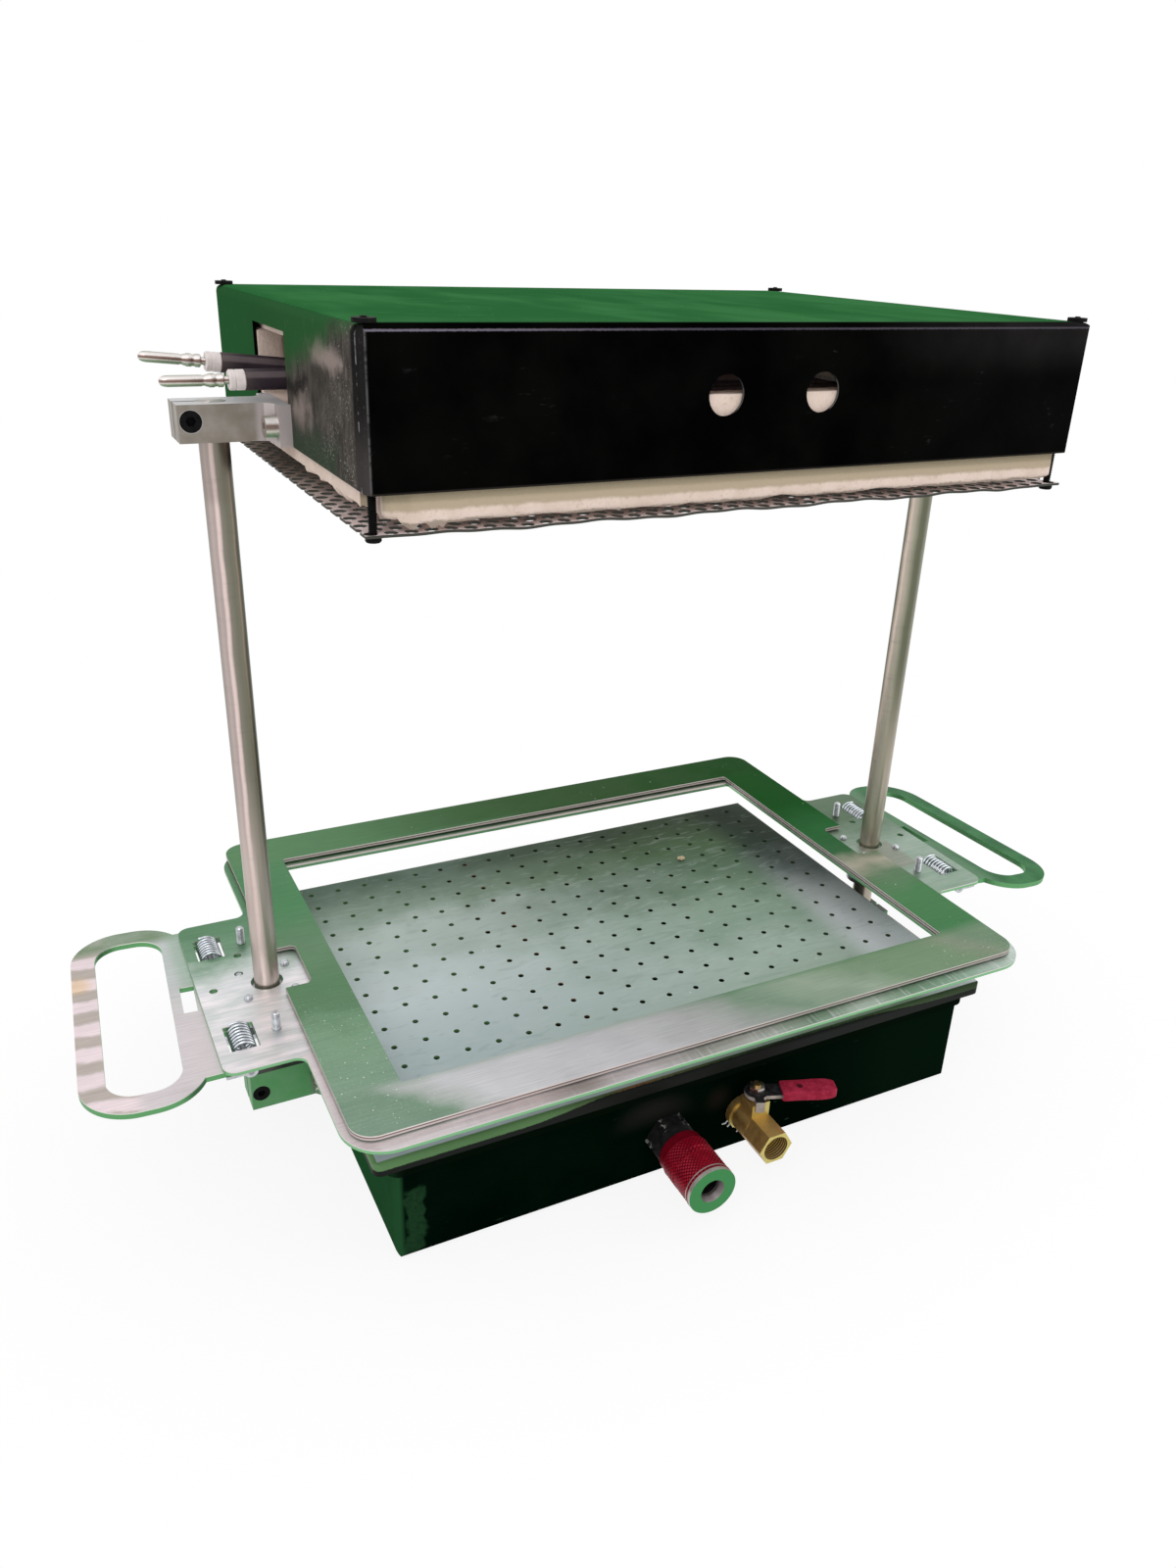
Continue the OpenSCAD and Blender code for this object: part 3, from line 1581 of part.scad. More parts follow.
vacuum_tray();
platen();
platen_seal();
platen_posts();
base_arm(-1);  // base_arm_left
base_arm(1);  // base_arm_right
base_clamp_screws();
base_arm_bolts();
guide_rod(-1);  // rod_left
guide_rod(1);  // rod_right
hood_arm(-1);  // hood_arm_left
hood_arm(1);  // hood_arm_right
hood_clamp_screws();
hood_arm_bolts();
hood_shell();
insulation_walls();
insulation_lid();
heating_element();
ceramic_beads();
bullet_terminals();
element_rails();
element_clips();
mesh_guard();
guard_bolts();
guard_nuts();
coupler_body();
coupler_sleeve();
coupler_spring();
valve_body();
valve_seats();
valve_ball();
valve_stem();
valve_lever();
lever_grip();
valve_nut();
bulkhead_nuts();
lower_frame();
clamp_gasket();
upper_ring();
rod_bush(-1);  // rod_bush_left
rod_bush(1);  // rod_bush_right
bush_screws();
fixed_leaves();
hinge_pins();
hinge_springs();
hinge_studs();
handle_left();
handle_right();
moving_leaves(-1);  // leaves_left
moving_leaves(1);  // leaves_right
leaf_rivets(-1);  // leaf_rivets_left
leaf_rivets(1);  // leaf_rivets_right
brake_yoke(-1);  // brake_yoke_left
brake_yoke(1);  // brake_yoke_right
yoke_screws(-1);  // yoke_screws_left
yoke_screws(1);  // yoke_screws_right
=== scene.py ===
"""Looks of a tabletop vacuum forming machine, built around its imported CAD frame.

Every length in a class is in millimetres, and MM turns it into Blender's metres. The plain numbers of
a shader are object coordinates in metres. The machine stands on z = 0 with its hose fittings towards -Y.
"""

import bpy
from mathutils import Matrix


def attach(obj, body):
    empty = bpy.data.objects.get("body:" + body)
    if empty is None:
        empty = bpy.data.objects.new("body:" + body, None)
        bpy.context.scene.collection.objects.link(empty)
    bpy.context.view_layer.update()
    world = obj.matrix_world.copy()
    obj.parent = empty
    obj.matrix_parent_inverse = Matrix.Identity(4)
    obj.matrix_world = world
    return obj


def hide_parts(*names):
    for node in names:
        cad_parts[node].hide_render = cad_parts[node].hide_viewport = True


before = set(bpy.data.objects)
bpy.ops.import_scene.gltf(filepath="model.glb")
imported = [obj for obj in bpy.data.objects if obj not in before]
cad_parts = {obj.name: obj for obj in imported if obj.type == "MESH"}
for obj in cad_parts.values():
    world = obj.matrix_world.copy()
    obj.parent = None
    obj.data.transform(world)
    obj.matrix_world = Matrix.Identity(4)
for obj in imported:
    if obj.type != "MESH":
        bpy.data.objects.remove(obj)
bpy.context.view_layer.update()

import logging
import math
import random
from contextlib import contextmanager
from dataclasses import dataclass
from enum import Enum
from functools import cache
from typing import Callable, Iterable, Iterator, Sequence, Union

import bpy
from mathutils import Matrix, Vector, noise

LOG = logging.getLogger("vacuum_former")
MM = 0.001
ROD_X = 184.5  # from the machine's middle to a rod, in millimetres
COUPLER_AXIS = (-22.0, 25.0)  # X and Z of the hose coupler
VALVE_AXIS = (20.5, 25.5)  # X and Z of the release valve
TRAY_FRONT_Y = -117.0
KNURL_TURNS = 18  # waves of the knurl round the sleeve
KNURL_SLOPE = 1.6  # radians of a wave for each millimetre along it
SIDES = (-1, 1)
CORNERS = tuple((sx, sy) for sx in SIDES for sy in SIDES)
TO_FRONT = Matrix.Rotation(math.radians(90), 3, "X")
Triple = tuple[float, float, float]
Colour = Triple  # screen levels of red, green and blue, from 0 to 255
Stops = Sequence[tuple[float, Colour]]
Number = Union[float, "Value"]


def linear(colour: Colour) -> tuple[float, ...]:
    """Turn a screen colour into the linear colour that a socket takes.

    Args:
        colour: The screen colour.

    Returns:
        Red, green, blue and a full alpha.
    """
    shares = (level / 255 for level in colour)
    return (*(share / 12.92 if share <= 0.04045 else ((share + 0.055) / 1.055) ** 2.4
              for share in shares), 1.0)


# ---------------------------------------------------------------- shader maths


def operator(operation: str, swapped: bool = False) -> Callable[..., "Value"]:
    """Make a method of Value that adds one Math node.

    Args:
        operation: Name of the Math node's operation.
        swapped: Whether the other number comes first, as for a plain number before the operator.

    Returns:
        The method.
    """
    def method(self: "Value", other: Number = 0.0) -> "Value":
        """Result of the Math node."""
        first, second = (other, self) if swapped else (self, other)
        node = self.graph.add("ShaderNodeMath", {"operation": operation}, {0: first, 1: second})
        return Value(self.graph, node.outputs[0])
    return method


class Value:
    """One number in a shader, on which Python's operators add Math nodes."""

    def __init__(self, graph: "Graph", socket: bpy.types.NodeSocket) -> None:
        """Keep the graph and the socket that gives the number."""
        self.graph = graph
        self.socket = socket

    __add__ = __radd__ = operator("ADD")
    __sub__ = operator("SUBTRACT")
    __rsub__ = operator("SUBTRACT", swapped=True)
    __mul__ = __rmul__ = operator("MULTIPLY")
    __truediv__ = operator("DIVIDE")
    __pow__ = operator("POWER")
    __abs__ = operator("ABSOLUTE")
    atan2 = operator("ARCTAN2")
    sine = operator("SINE")
    least = operator("MINIMUM")
    most = operator("MAXIMUM")

    def rise(self, low: float, high: float) -> "Value":
        """Smooth step of this number from 0 at low to 1 at high."""
        node = self.graph.add("ShaderNodeMapRange", {"interpolation_type": "SMOOTHSTEP"},
                              {"Value": self, "From Min": low, "From Max": high})
        return Value(self.graph, node.outputs[0])

    def fall(self, low: float, high: float) -> "Value":
        """Smooth step of this number from 1 at low to 0 at high."""
        return 1 - self.rise(low, high)

    def within(self, low: float, high: float, soft: float) -> "Value":
        """Mask that is 1 between two limits and fades over a soft edge outside them."""
        return self.rise(low - soft, low) * self.fall(high, high + soft)


class Graph:
    """Node tree of one material, with the few calls that its finishes need."""

    def __init__(self, name: str, world: bpy.types.World | None = None) -> None:
        """Start an empty material, or empty a world's tree."""
        self.material = world or bpy.data.materials.new(name)
        self.material.use_nodes = True
        self.tree = self.material.node_tree
        self.tree.nodes.clear()
        self.place = self.add("ShaderNodeTexCoord", {}, {}).outputs["Object"]
        self.x, self.y, self.z = self.parts(self.place)
        facing = self.add("ShaderNodeNewGeometry", {}, {}).outputs["Normal"]
        self.facing_x, self.facing_y, self.facing_z = self.parts(facing)

    def add(self, kind: str, settings: dict[str, object], values: dict[object, object]) -> bpy.types.Node:
        """Add any node.

        Args:
            kind: The node's type.
            settings: Its properties, and "stops" for a ramp's stops.
            values: Number, Value or socket of each input, by name or index, or its colour as three
                screen levels or as four linear shares.

        Returns:
            The node.
        """
        node = self.tree.nodes.new(kind)
        for key, setting in settings.items():
            if key == "stops":
                self._set_stops(node, setting)
            else:
                setattr(node, key, setting)
        for key, value in values.items():
            socket = node.inputs[key]
            if isinstance(value, Value):
                self.tree.links.new(value.socket, socket)
            elif isinstance(value, bpy.types.NodeSocket):
                self.tree.links.new(value, socket)
            elif socket.type == "RGBA" and len(value) == 3:
                socket.default_value = linear(value)
            else:
                socket.default_value = value
        return node

    @staticmethod
    def _set_stops(node: bpy.types.Node, stops: Stops) -> None:
        """Give a ramp its stops."""
        elements = node.color_ramp.elements
        while len(elements) < len(stops):
            elements.new(1.0)
        while len(elements) > len(stops):
            elements.remove(elements[-1])
        for element, (position, colour) in zip(elements, stops):
            element.position = position
            element.color = linear(colour)

    def parts(self, vector: bpy.types.NodeSocket) -> tuple[Value, Value, Value]:
        """Split a vector into its three numbers."""
        first, second, third = self.add("ShaderNodeSeparateXYZ", {}, {0: vector}).outputs
        return Value(self, first), Value(self, second), Value(self, third)

    @staticmethod
    def from_axis(first: Value, second: Value, axis: tuple[float, float]) -> Value:
        """Distance from an axis.

        Args:
            first: Place along one direction across the axis.
            second: Place along the other direction.
            axis: Where the axis lies on those two, in millimetres.

        Returns:
            The distance in metres.
        """
        return ((first - axis[0] * MM) ** 2.0 + (second - axis[1] * MM) ** 2.0) ** 0.5

    def grain(self, size: float, stretch: Triple = (1.0, 1.0, 1.0), detail: float = 3.0,
              shift: float = 0.0) -> Value:
        """Noise whose grains have a given size.

        Args:
            size: Size of a grain in millimetres.
            stretch: How often the pattern repeats along X, Y and Z, as shares of that size.
            detail: Layers of finer noise.
            shift: Moves the pattern, so two of them differ.

        Returns:
            The noise, from 0 to 1 with its middle at 0.5.
        """
        moved = self.add("ShaderNodeMapping", {}, {"Vector": self.place, "Scale": stretch,
                                                   "Location": (shift, shift, shift)})
        node = self.add("ShaderNodeTexNoise", {}, {"Vector": moved.outputs[0], "Scale": 1 / (size * MM),
                                                   "Detail": detail, "Roughness": 0.55})
        return Value(self, node.outputs[0])

    def specks(self, spacing: float, size: float, share: float = 0.5, shift: float = 0.0) -> Value:
        """Small round specks of uneven size, scattered at random.

        Args:
            spacing: Usual distance between two places where a speck may lie, in millimetres.
            size: Radius of the largest speck, as a share of that distance.
            share: Share of the places that have a speck.
            shift: Moves the pattern.

        Returns:
            A mask that is 1 on a speck.
        """
        moved = self.add("ShaderNodeMapping", {}, {"Vector": self.place, "Location": (shift, shift, shift)})
        node = self.add("ShaderNodeTexVoronoi", {}, {"Vector": moved.outputs[0], "Scale": 1 / (spacing * MM)})
        chance, scale, _ = self.parts(node.outputs["Color"])
        away = Value(self, node.outputs["Distance"]) / (0.3 + scale * 0.7)
        return away.fall(size * 0.55, size) * chance.rise(0.98 - share, 1.0 - share)

    def mix(self, share: Number, first: object, second: object) -> bpy.types.NodeSocket:
        """Mix two colours.

        Args:
            share: How much of the second colour there is.
            first: A colour or a colour socket.
            second: A colour or a colour socket.

        Returns:
            The mixed colour.
        """
        node = self.add("ShaderNodeMix", {"data_type": "RGBA"}, {0: share, 6: first, 7: second})
        return node.outputs[2]

    def coats(self, colour: object, layers: Iterable[tuple[Number, object]]) -> bpy.types.NodeSocket:
        """Lay coats of colour over a colour.

        Args:
            colour: The colour below.
            layers: Share and colour of each coat, from the lowest up.

        Returns:
            The colour that shows.
        """
        for share, coat in layers:
            colour = self.mix(share, colour, coat)
        return colour

    def shade(self, colour: bpy.types.NodeSocket, amount: Value) -> bpy.types.NodeSocket:
        """Multiply a colour by a number."""
        node = self.add("ShaderNodeMix", {"data_type": "RGBA", "blend_type": "MULTIPLY"},
                        {0: 1.0, 6: colour, 7: amount})
        return node.outputs[2]

    def ramp(self, value: Value, stops: Stops) -> bpy.types.NodeSocket:
        """Colour that follows a number through a row of stops."""
        return self.add("ShaderNodeValToRGB", {"stops": stops}, {0: value}).outputs[0]

    def along(self, place: Value, stops: Stops) -> bpy.types.NodeSocket:
        """Colour that follows a place through stops given in millimetres.

        Args:
            place: The place in metres.
            stops: Place in millimetres and colour of each stop, in rising order.

        Returns:
            The colour.
        """
        low, high = stops[0][0], stops[-1][0]
        share = (place - low * MM) / ((high - low) * MM)
        return self.ramp(share, [((at - low) / (high - low), colour) for at, colour in stops])

    def relief(self, height: Value, depth: float, strength: float = 1.0) -> bpy.types.NodeSocket:
        """Bump of a given depth in millimetres."""
        values = {"Height": height, "Distance": depth * MM, "Strength": strength}
        return self.add("ShaderNodeBump", {}, values).outputs[0]

    def finish(self, values: dict[str, object]) -> bpy.types.Material:
        """Close the material with one Principled shader.

        Args:
            values: Its sockets by name.

        Returns:
            The finished material.
        """
        shader = self.add("ShaderNodeBsdfPrincipled", {}, values)
        self.add("ShaderNodeOutputMaterial", {}, {"Surface": shader.outputs[0]})
        return self.material


# -------------------------------------------------------------------- finishes


@dataclass(frozen=True)
class Finish:
    """A surface finish of the machine."""

    name: str

    @cache
    def make(self) -> bpy.types.Material:
        """Build the finish's material, once for all the pieces that share it."""
        return self.paint(Graph(self.name))

    def paint(self, g: Graph) -> bpy.types.Material:
        """Paint the finish on an empty node tree.

        Args:
            g: The tree.

        Returns:
            The finished material.
        """
        raise NotImplementedError


@dataclass(frozen=True)
class HoodEnamel(Finish):
    """Black enamel of the hood, with a painted reflection of the green room on top and at the rear, dusty on
    the left.
    """

    # The top colour, the green at the side's rear and the pale side colour are painted reflections and sheen
    # of the room; the fold's line colour is a painted highlight.
    top: Colour = (47, 107, 57)
    black: Colour = (3, 3, 3)
    rear_reflection: Colour = (46, 88, 51)
    sheen: Colour = (150, 136, 130)
    low: Colour = (58, 69, 57)
    line: Colour = (126, 118, 134)

    def paint(self, g: Graph) -> bpy.types.Material:
        """Paint the enamel by the side that a face looks to."""
        cloud = g.grain(38, detail=4)
        fine = g.grain(1.1, detail=3)
        # Faces looking up get the painted reflection of the green room on the top.
        up = g.z.rise(0.3934, 0.3941) * (g.y + 0.1125).rise(-0.0025, 0.003)
        left = (g.facing_x * -1).rise(0.45, 0.7)
        colour = g.mix(left, self.front_paint(g, cloud, fine), self.side_paint(g, cloud, fine))
        colour = g.mix(up, colour, self.top_paint(g, cloud, fine))
        return g.finish({"Base Color": colour, "Roughness": 0.5 + fine * 0.1, "Specular IOR Level": 0.0,
                         "Normal": g.relief(cloud + fine * 0.05, 0.25, 0.5)})

    def top_paint(self, g: Graph, cloud: Value, fine: Value) -> bpy.types.NodeSocket:
        """Painted reflection of the green room on the top, with soft darker patches, faint scratches and
        dust.
        """
        patch = g.grain(60, stretch=(1.0, 0.35, 1.0), detail=3, shift=0.9)
        scratch = g.grain(1.6, stretch=(0.05, 0.6, 1.0), detail=4, shift=0.2)
        near = g.y.fall(-0.105, -0.085)
        colour = g.mix(patch.rise(0.42, 0.6) * 0.75, (44, 102, 56), (62, 122, 72))
        return g.coats(colour, (
            (cloud.rise(0.5, 0.75) * 0.35, self.top),
            (scratch.rise(0.58, 0.75) * cloud.rise(0.4, 0.6) * 0.4, (108, 152, 114)),
            (near * fine.rise(0.4, 0.7) * 0.35, (74, 112, 78)),
            (g.specks(5, 0.1, 0.35) * 0.7, (158, 186, 160))))

    def front_paint(self, g: Graph, cloud: Value, fine: Value) -> bpy.types.NodeSocket:
        """Near black of the front and back, with a painted highlight line on the fold and faint scuffs."""
        right = g.x.rise(0.03, 0.15)
        scuff = g.grain(2.4, stretch=(0.3, 1.0, 1.0), detail=4, shift=0.7).rise(0.64, 0.72)
        # The line is a painted highlight along the fold, strongest on the left.
        shining = 0.16 + fine * 0.25 + g.x.fall(-0.15, -0.02) * 0.45
        line = (g.z + (fine - 0.5) * 0.0004).within(0.39235, 0.3927, 0.0003)
        lip = g.z.fall(0.3418, 0.3424)
        colour = g.mix(cloud.rise(0.35, 0.7), self.black, (10, 10, 9))
        return g.coats(colour, (
            (right * g.z.rise(0.372, 0.39) * cloud * 0.7, (72, 68, 68)),
            (right * 0.4, (15, 17, 16)),
            (scuff * cloud.rise(0.55, 0.65) * 0.16, (72, 74, 73)),
            (line * shining, self.line),
            (lip * 0.35, (70, 66, 60))))

    def side_paint(self, g: Graph, cloud: Value, fine: Value) -> bpy.types.NodeSocket:
        """Left side: a painted reflection of the green room behind, a pale painted sheen above the middle,
        smudges, dust, the lap of the corner and painted highlight lines along it.
        """
        streak = g.grain(3.2, stretch=(1.0, 1.0, 0.4), detail=5, shift=0.3)
        blot = g.grain(13, detail=5, shift=0.45)
        y = g.y + (blot - 0.5) * 0.05
        z = g.z + (cloud - 0.5) * 0.02 + (blot - 0.5) * 0.008
        low = z.fall(0.346, 0.355) * y.within(-0.084, -0.02, 0.012)
        # The upper and middle bands make a pale painted sheen on the side.
        upper = (1 - abs((z - 0.3795) / 0.0065)).most(0.0) * y.within(-0.086, -0.062, 0.022)
        middle = (1 - abs((z - 0.3580) / 0.0100)).most(0.0) * (1 - abs((y + 0.038) / 0.020)).most(0.0)
        sheen = (upper.rise(0.0, 0.8) + middle.rise(0.0, 0.9) * 0.8).least(1.0)
        smudge = (1 - abs((z - 0.3680) / 0.0045)).most(0.0) * y.within(-0.042, -0.02, 0.018)
        # The rear of the side gets a painted reflection of the green room.
        behind = (y + 0.045 + (g.z - 0.380) * 3.75).rise(-0.030, 0.022).most(y.rise(-0.008, 0.022))
        green = g.mix(g.y.rise(0.0, 0.05), self.rear_reflection, (42, 88, 50))
        green = g.mix(streak.rise(0.6, 0.75) * 0.25, green, (92, 118, 92))
        near = y.within(-0.100, -0.076, 0.020)
        dust = (0.12 + near * (0.35 + z.fall(0.345, 0.365) * 0.6)) * (1 - behind)
        dust = dust * blot.rise(0.35, 0.55)
        lap = (g.y + 0.1065 + (fine - 0.5) * 0.001).fall(-0.0015, 0.001)
        broken = g.grain(4, stretch=(0.2, 0.2, 1.0), detail=4, shift=0.8).rise(0.47, 0.58)
        # Painted highlight lines along the lap and the rounded corner.
        bright = (g.y + 0.1120 + (streak - 0.5) * 0.0025).within(-0.0003, 0.0003, 0.0004) * broken
        bright = bright.most((g.y + 0.1174).within(-0.0002, 0.0002, 0.0003) * (0.55 - broken * 0.4))
        colour = g.mix((streak * 0.6 + blot * 0.4).rise(0.35, 0.65) * 0.8, (62, 59, 55), (94, 88, 83))
        return g.coats(colour, (
            (low * 0.9, self.low),
            (sheen * 0.85, self.sheen),
            (smudge.rise(0.0, 0.8) * 0.8, (38, 36, 36)),
            (behind, green),
            ((g.specks(0.9, 0.42, 0.4, 0.2) * dust * 1.4).least(1.0), (206, 202, 194)),
            (g.specks(3.1, 0.13, 0.5, 0.7) * (1 - behind) * 0.8, (214, 210, 202)),
            (fine.rise(0.54, 0.7) * dust * 0.7, (168, 162, 154)),
            (lap * 0.9, g.mix(g.z.rise(0.345, 0.372), (66, 62, 62), (24, 24, 25))),
            (bright * 0.75, (150, 148, 150))))


@dataclass(frozen=True)
class TrayEnamel(Finish):
    """Gloss black enamel of the tray, with a painted reflection of the green room in it."""

    # The green in the front and side colours is a painted reflection of the room.
    front: Colour = (3, 17, 9)
    side: Colour = (38, 92, 52)
    smear: Colour = (40, 76, 48)
    sheen_at: tuple[float, float] = (-30.0, 26.0)
    spot_at: tuple[float, float] = (6.0, 37.0)

    def paint(self, g: Graph) -> bpy.types.Material:
        """Paint the enamel, with a painted green reflection on the left wall and round the corner, a smear by
        the corner and a painted sheen above the coupler.
        """
        cloud = g.grain(45, detail=3)
        fine = g.grain(2.0, detail=3)
        left = (g.facing_x * -1).rise(0.3, 0.7)
        edge = (cloud - 0.5) * 0.014 + (g.grain(7, detail=4, shift=0.3) - 0.5) * 0.008
        ahead = g.y.fall(-0.110, -0.105)
        smeared = (g.x + 0.151 + edge).within(-0.0035, 0.0035, 0.002) * ahead
        smeared = smeared * (g.z + edge).within(0.006, 0.038, 0.003)
        # The rounded corner gets a painted green reflection.
        corner = g.x.fall(-0.158, -0.1545)
        # A soft painted sheen in an arc above the coupler.
        arc = g.from_axis(g.x, g.z, self.sheen_at)
        sheen = arc.fall(0.012, 0.030) * g.z.rise(0.030, 0.046) * ahead
        spot = g.from_axis(g.x, g.z, self.spot_at)
        scratch = g.grain(1.8, stretch=(0.2, 1.0, 1.0), detail=3, shift=0.5).rise(0.68, 0.74)
        # The left wall gets a painted reflection of the green room, greener towards the rear.
        rear = g.y.rise(-0.105, -0.02)
        rim = g.z.within(0.0505, 0.0556, 0.0006)
        colour = g.mix(cloud.rise(0.3, 0.7), self.front, (1, 11, 5))
        colour = g.coats(colour, (
            (g.x.rise(0.06, 0.12), (7, 23, 14)),
            (smeared * (0.2 + fine * 0.6), self.smear),
            (corner * 0.6, (30, 52, 36)),
            (sheen * (0.35 + cloud * 0.5), (50, 45, 45)),
            (spot.fall(0.0, 0.011) * ahead * 0.35, (48, 38, 35)),
            (scratch * cloud.rise(0.5, 0.65) * 0.35, (66, 84, 72)),
            (left * (0.75 + cloud * 0.4), g.mix(rear, (36, 78, 46), self.side)),
            (rim * 0.7, (9, 17, 10)),
            (rim * g.z.within(0.0545, 0.0552, 0.0004) * fine * 0.8, (74, 66, 52))))
        return g.finish({"Base Color": colour, "Roughness": 0.4 + fine * 0.1, "Specular IOR Level": 0.0,
                         "Normal": g.relief(cloud, 0.3, 0.5)})


class Grain(Enum):
    """Way that a brushed sheet's scratches run, as how fast they change along X, Y and Z."""

    ALONG_X = (0.03, 1.0, 1.0)
    ALONG_Y = (1.0, 0.03, 1.0)


@dataclass(frozen=True)
class BrushedSheet(Finish):
    """Brushed sheet metal, painted silver where it would reflect the lamps and with a painted green
    reflection where it faces the room.
    """

    grain: Grain = Grain.ALONG_X
    # Cut edges get a painted highlight colour above edge_z and a painted reflection colour below it; the
    # groove is a painted shadow line just under edge_z.
    edge: Colour = (206, 200, 202)
    under_edge: Colour = (120, 172, 126)
    edge_z: float = 0.0
    groove: float = 0.0
    dust: float = 0.5
    rough: float = 0.34
    metal: float = 0.8

    def patches(self, g: Graph) -> bpy.types.NodeSocket:
        """Painted reflections on the sheet's upper face, before its scratches."""
        raise NotImplementedError

    def paint(self, g: Graph) -> bpy.types.Material:
        """Paint the painted reflections, scratches, dust, the cut edges' painted highlights and reflections,
        and the groove's painted shadow.
        """
        scratch = g.grain(0.55, stretch=self.grain.value, detail=5)
        smudge = g.grain(22, detail=5, shift=0.2)
        colour = self.patches(g)
        colour = g.shade(colour, 0.62 + scratch * 0.52 + smudge * 0.24)
        specks = g.specks(4.2, 0.12, 0.3, 0.4) * smudge.rise(0.4, 0.6)
        # Cut edges: a painted highlight above, a painted reflection below, and a painted shadow line in the
        # groove.
        rim = abs(g.facing_z).fall(0.3, 0.7)
        low = g.z.fall(self.edge_z - 0.0006, self.edge_z - 0.0004)
        edge = g.mix(low, self.edge, self.under_edge)
        groove = self.groove * g.z.within(self.edge_z - 0.0012, self.edge_z - 0.0008, 0.0002)
        edge = g.mix(groove, edge, (86, 76, 70))
        colour = g.coats(colour, (
            (specks * self.dust, (234, 236, 230)),
            (rim, edge)))
        return g.finish({"Base Color": colour, "Metallic": smudge.rise(0.5, 0.7) * -0.1 + self.metal,
                         "Roughness": self.rough + smudge * 0.16, "Specular IOR Level": 0.0,
                         "Normal": g.relief(scratch, 0.03, 0.4)})


@dataclass(frozen=True)
class RingSheet(BrushedSheet):
    """Clamp ring: a painted green reflection on its left, right and back bars, and painted silver where the
    front reflects the lamps.
    """

    metal: float = 0.3

    def patches(self, g: Graph) -> bpy.types.NodeSocket:
        """Painted reflection colours of the four bars, with dust."""
        wave = (g.grain(26, detail=4, shift=0.6) - 0.5) * 0.03
        dusty = g.grain(1.2, detail=3, shift=0.1)
        front = g.along(g.x + wave * 1.3 + (g.y + 0.117) * 1.2, [
            (-172, (134, 161, 141)), (-150, (131, 160, 137)), (-136, (190, 196, 192)),
            (-119, (214, 215, 218)), (-85, (210, 210, 213)), (-51, (200, 200, 203)),
            (-10, (180, 182, 181)), (14, (158, 167, 159)), (34, (131, 156, 134)),
            (68, (158, 176, 156)), (100, (126, 152, 123)), (135, (123, 150, 118)),
            (153, (136, 150, 128)), (172, (118, 145, 118))])
        left = g.along(g.y + wave, [
            (-126, (148, 172, 154)), (-93, (136, 166, 142)), (-61, (132, 166, 136)),
            (-40, (106, 143, 110)), (-20, (102, 141, 105)), (20, (114, 149, 117)),
            (60, (90, 144, 100)), (135, (96, 142, 102))])
        right = g.along(g.y + wave, [
            (-126, (108, 142, 108)), (-100, (76, 130, 84)), (-60, (84, 134, 89)),
            (-40, (108, 136, 106)), (-24, (178, 174, 158)), (-6, (58, 106, 66)),
            (22, (42, 107, 54)), (60, (12, 80, 20)), (130, (24, 80, 26))])
        back = g.along(g.x + wave, [
            (-165, (102, 144, 104)), (-105, (96, 136, 96)), (-45, (74, 110, 70)),
            (0, (62, 96, 56)), (60, (56, 88, 50)), (165, (28, 76, 28))])
        spill = g.y.within(-0.115, -0.045, 0.03) * g.x.fall(-0.14, -0.12)
        spill = spill.most(g.x.within(0.14, 0.17, 0.02) * g.y.fall(-0.12, -0.10))
        colour = g.mix(g.x.rise(-0.02, 0.02), left, right)
        return g.coats(colour, (
            (g.y.rise(0.108, 0.118), back),
            (g.y.fall(-0.108, -0.098), front),
            (spill * g.specks(2.2, 0.2, 0.4, 0.3) * 0.9, (240, 244, 238)),
            (spill * dusty.rise(0.55, 0.75) * 0.3, (196, 206, 196))))


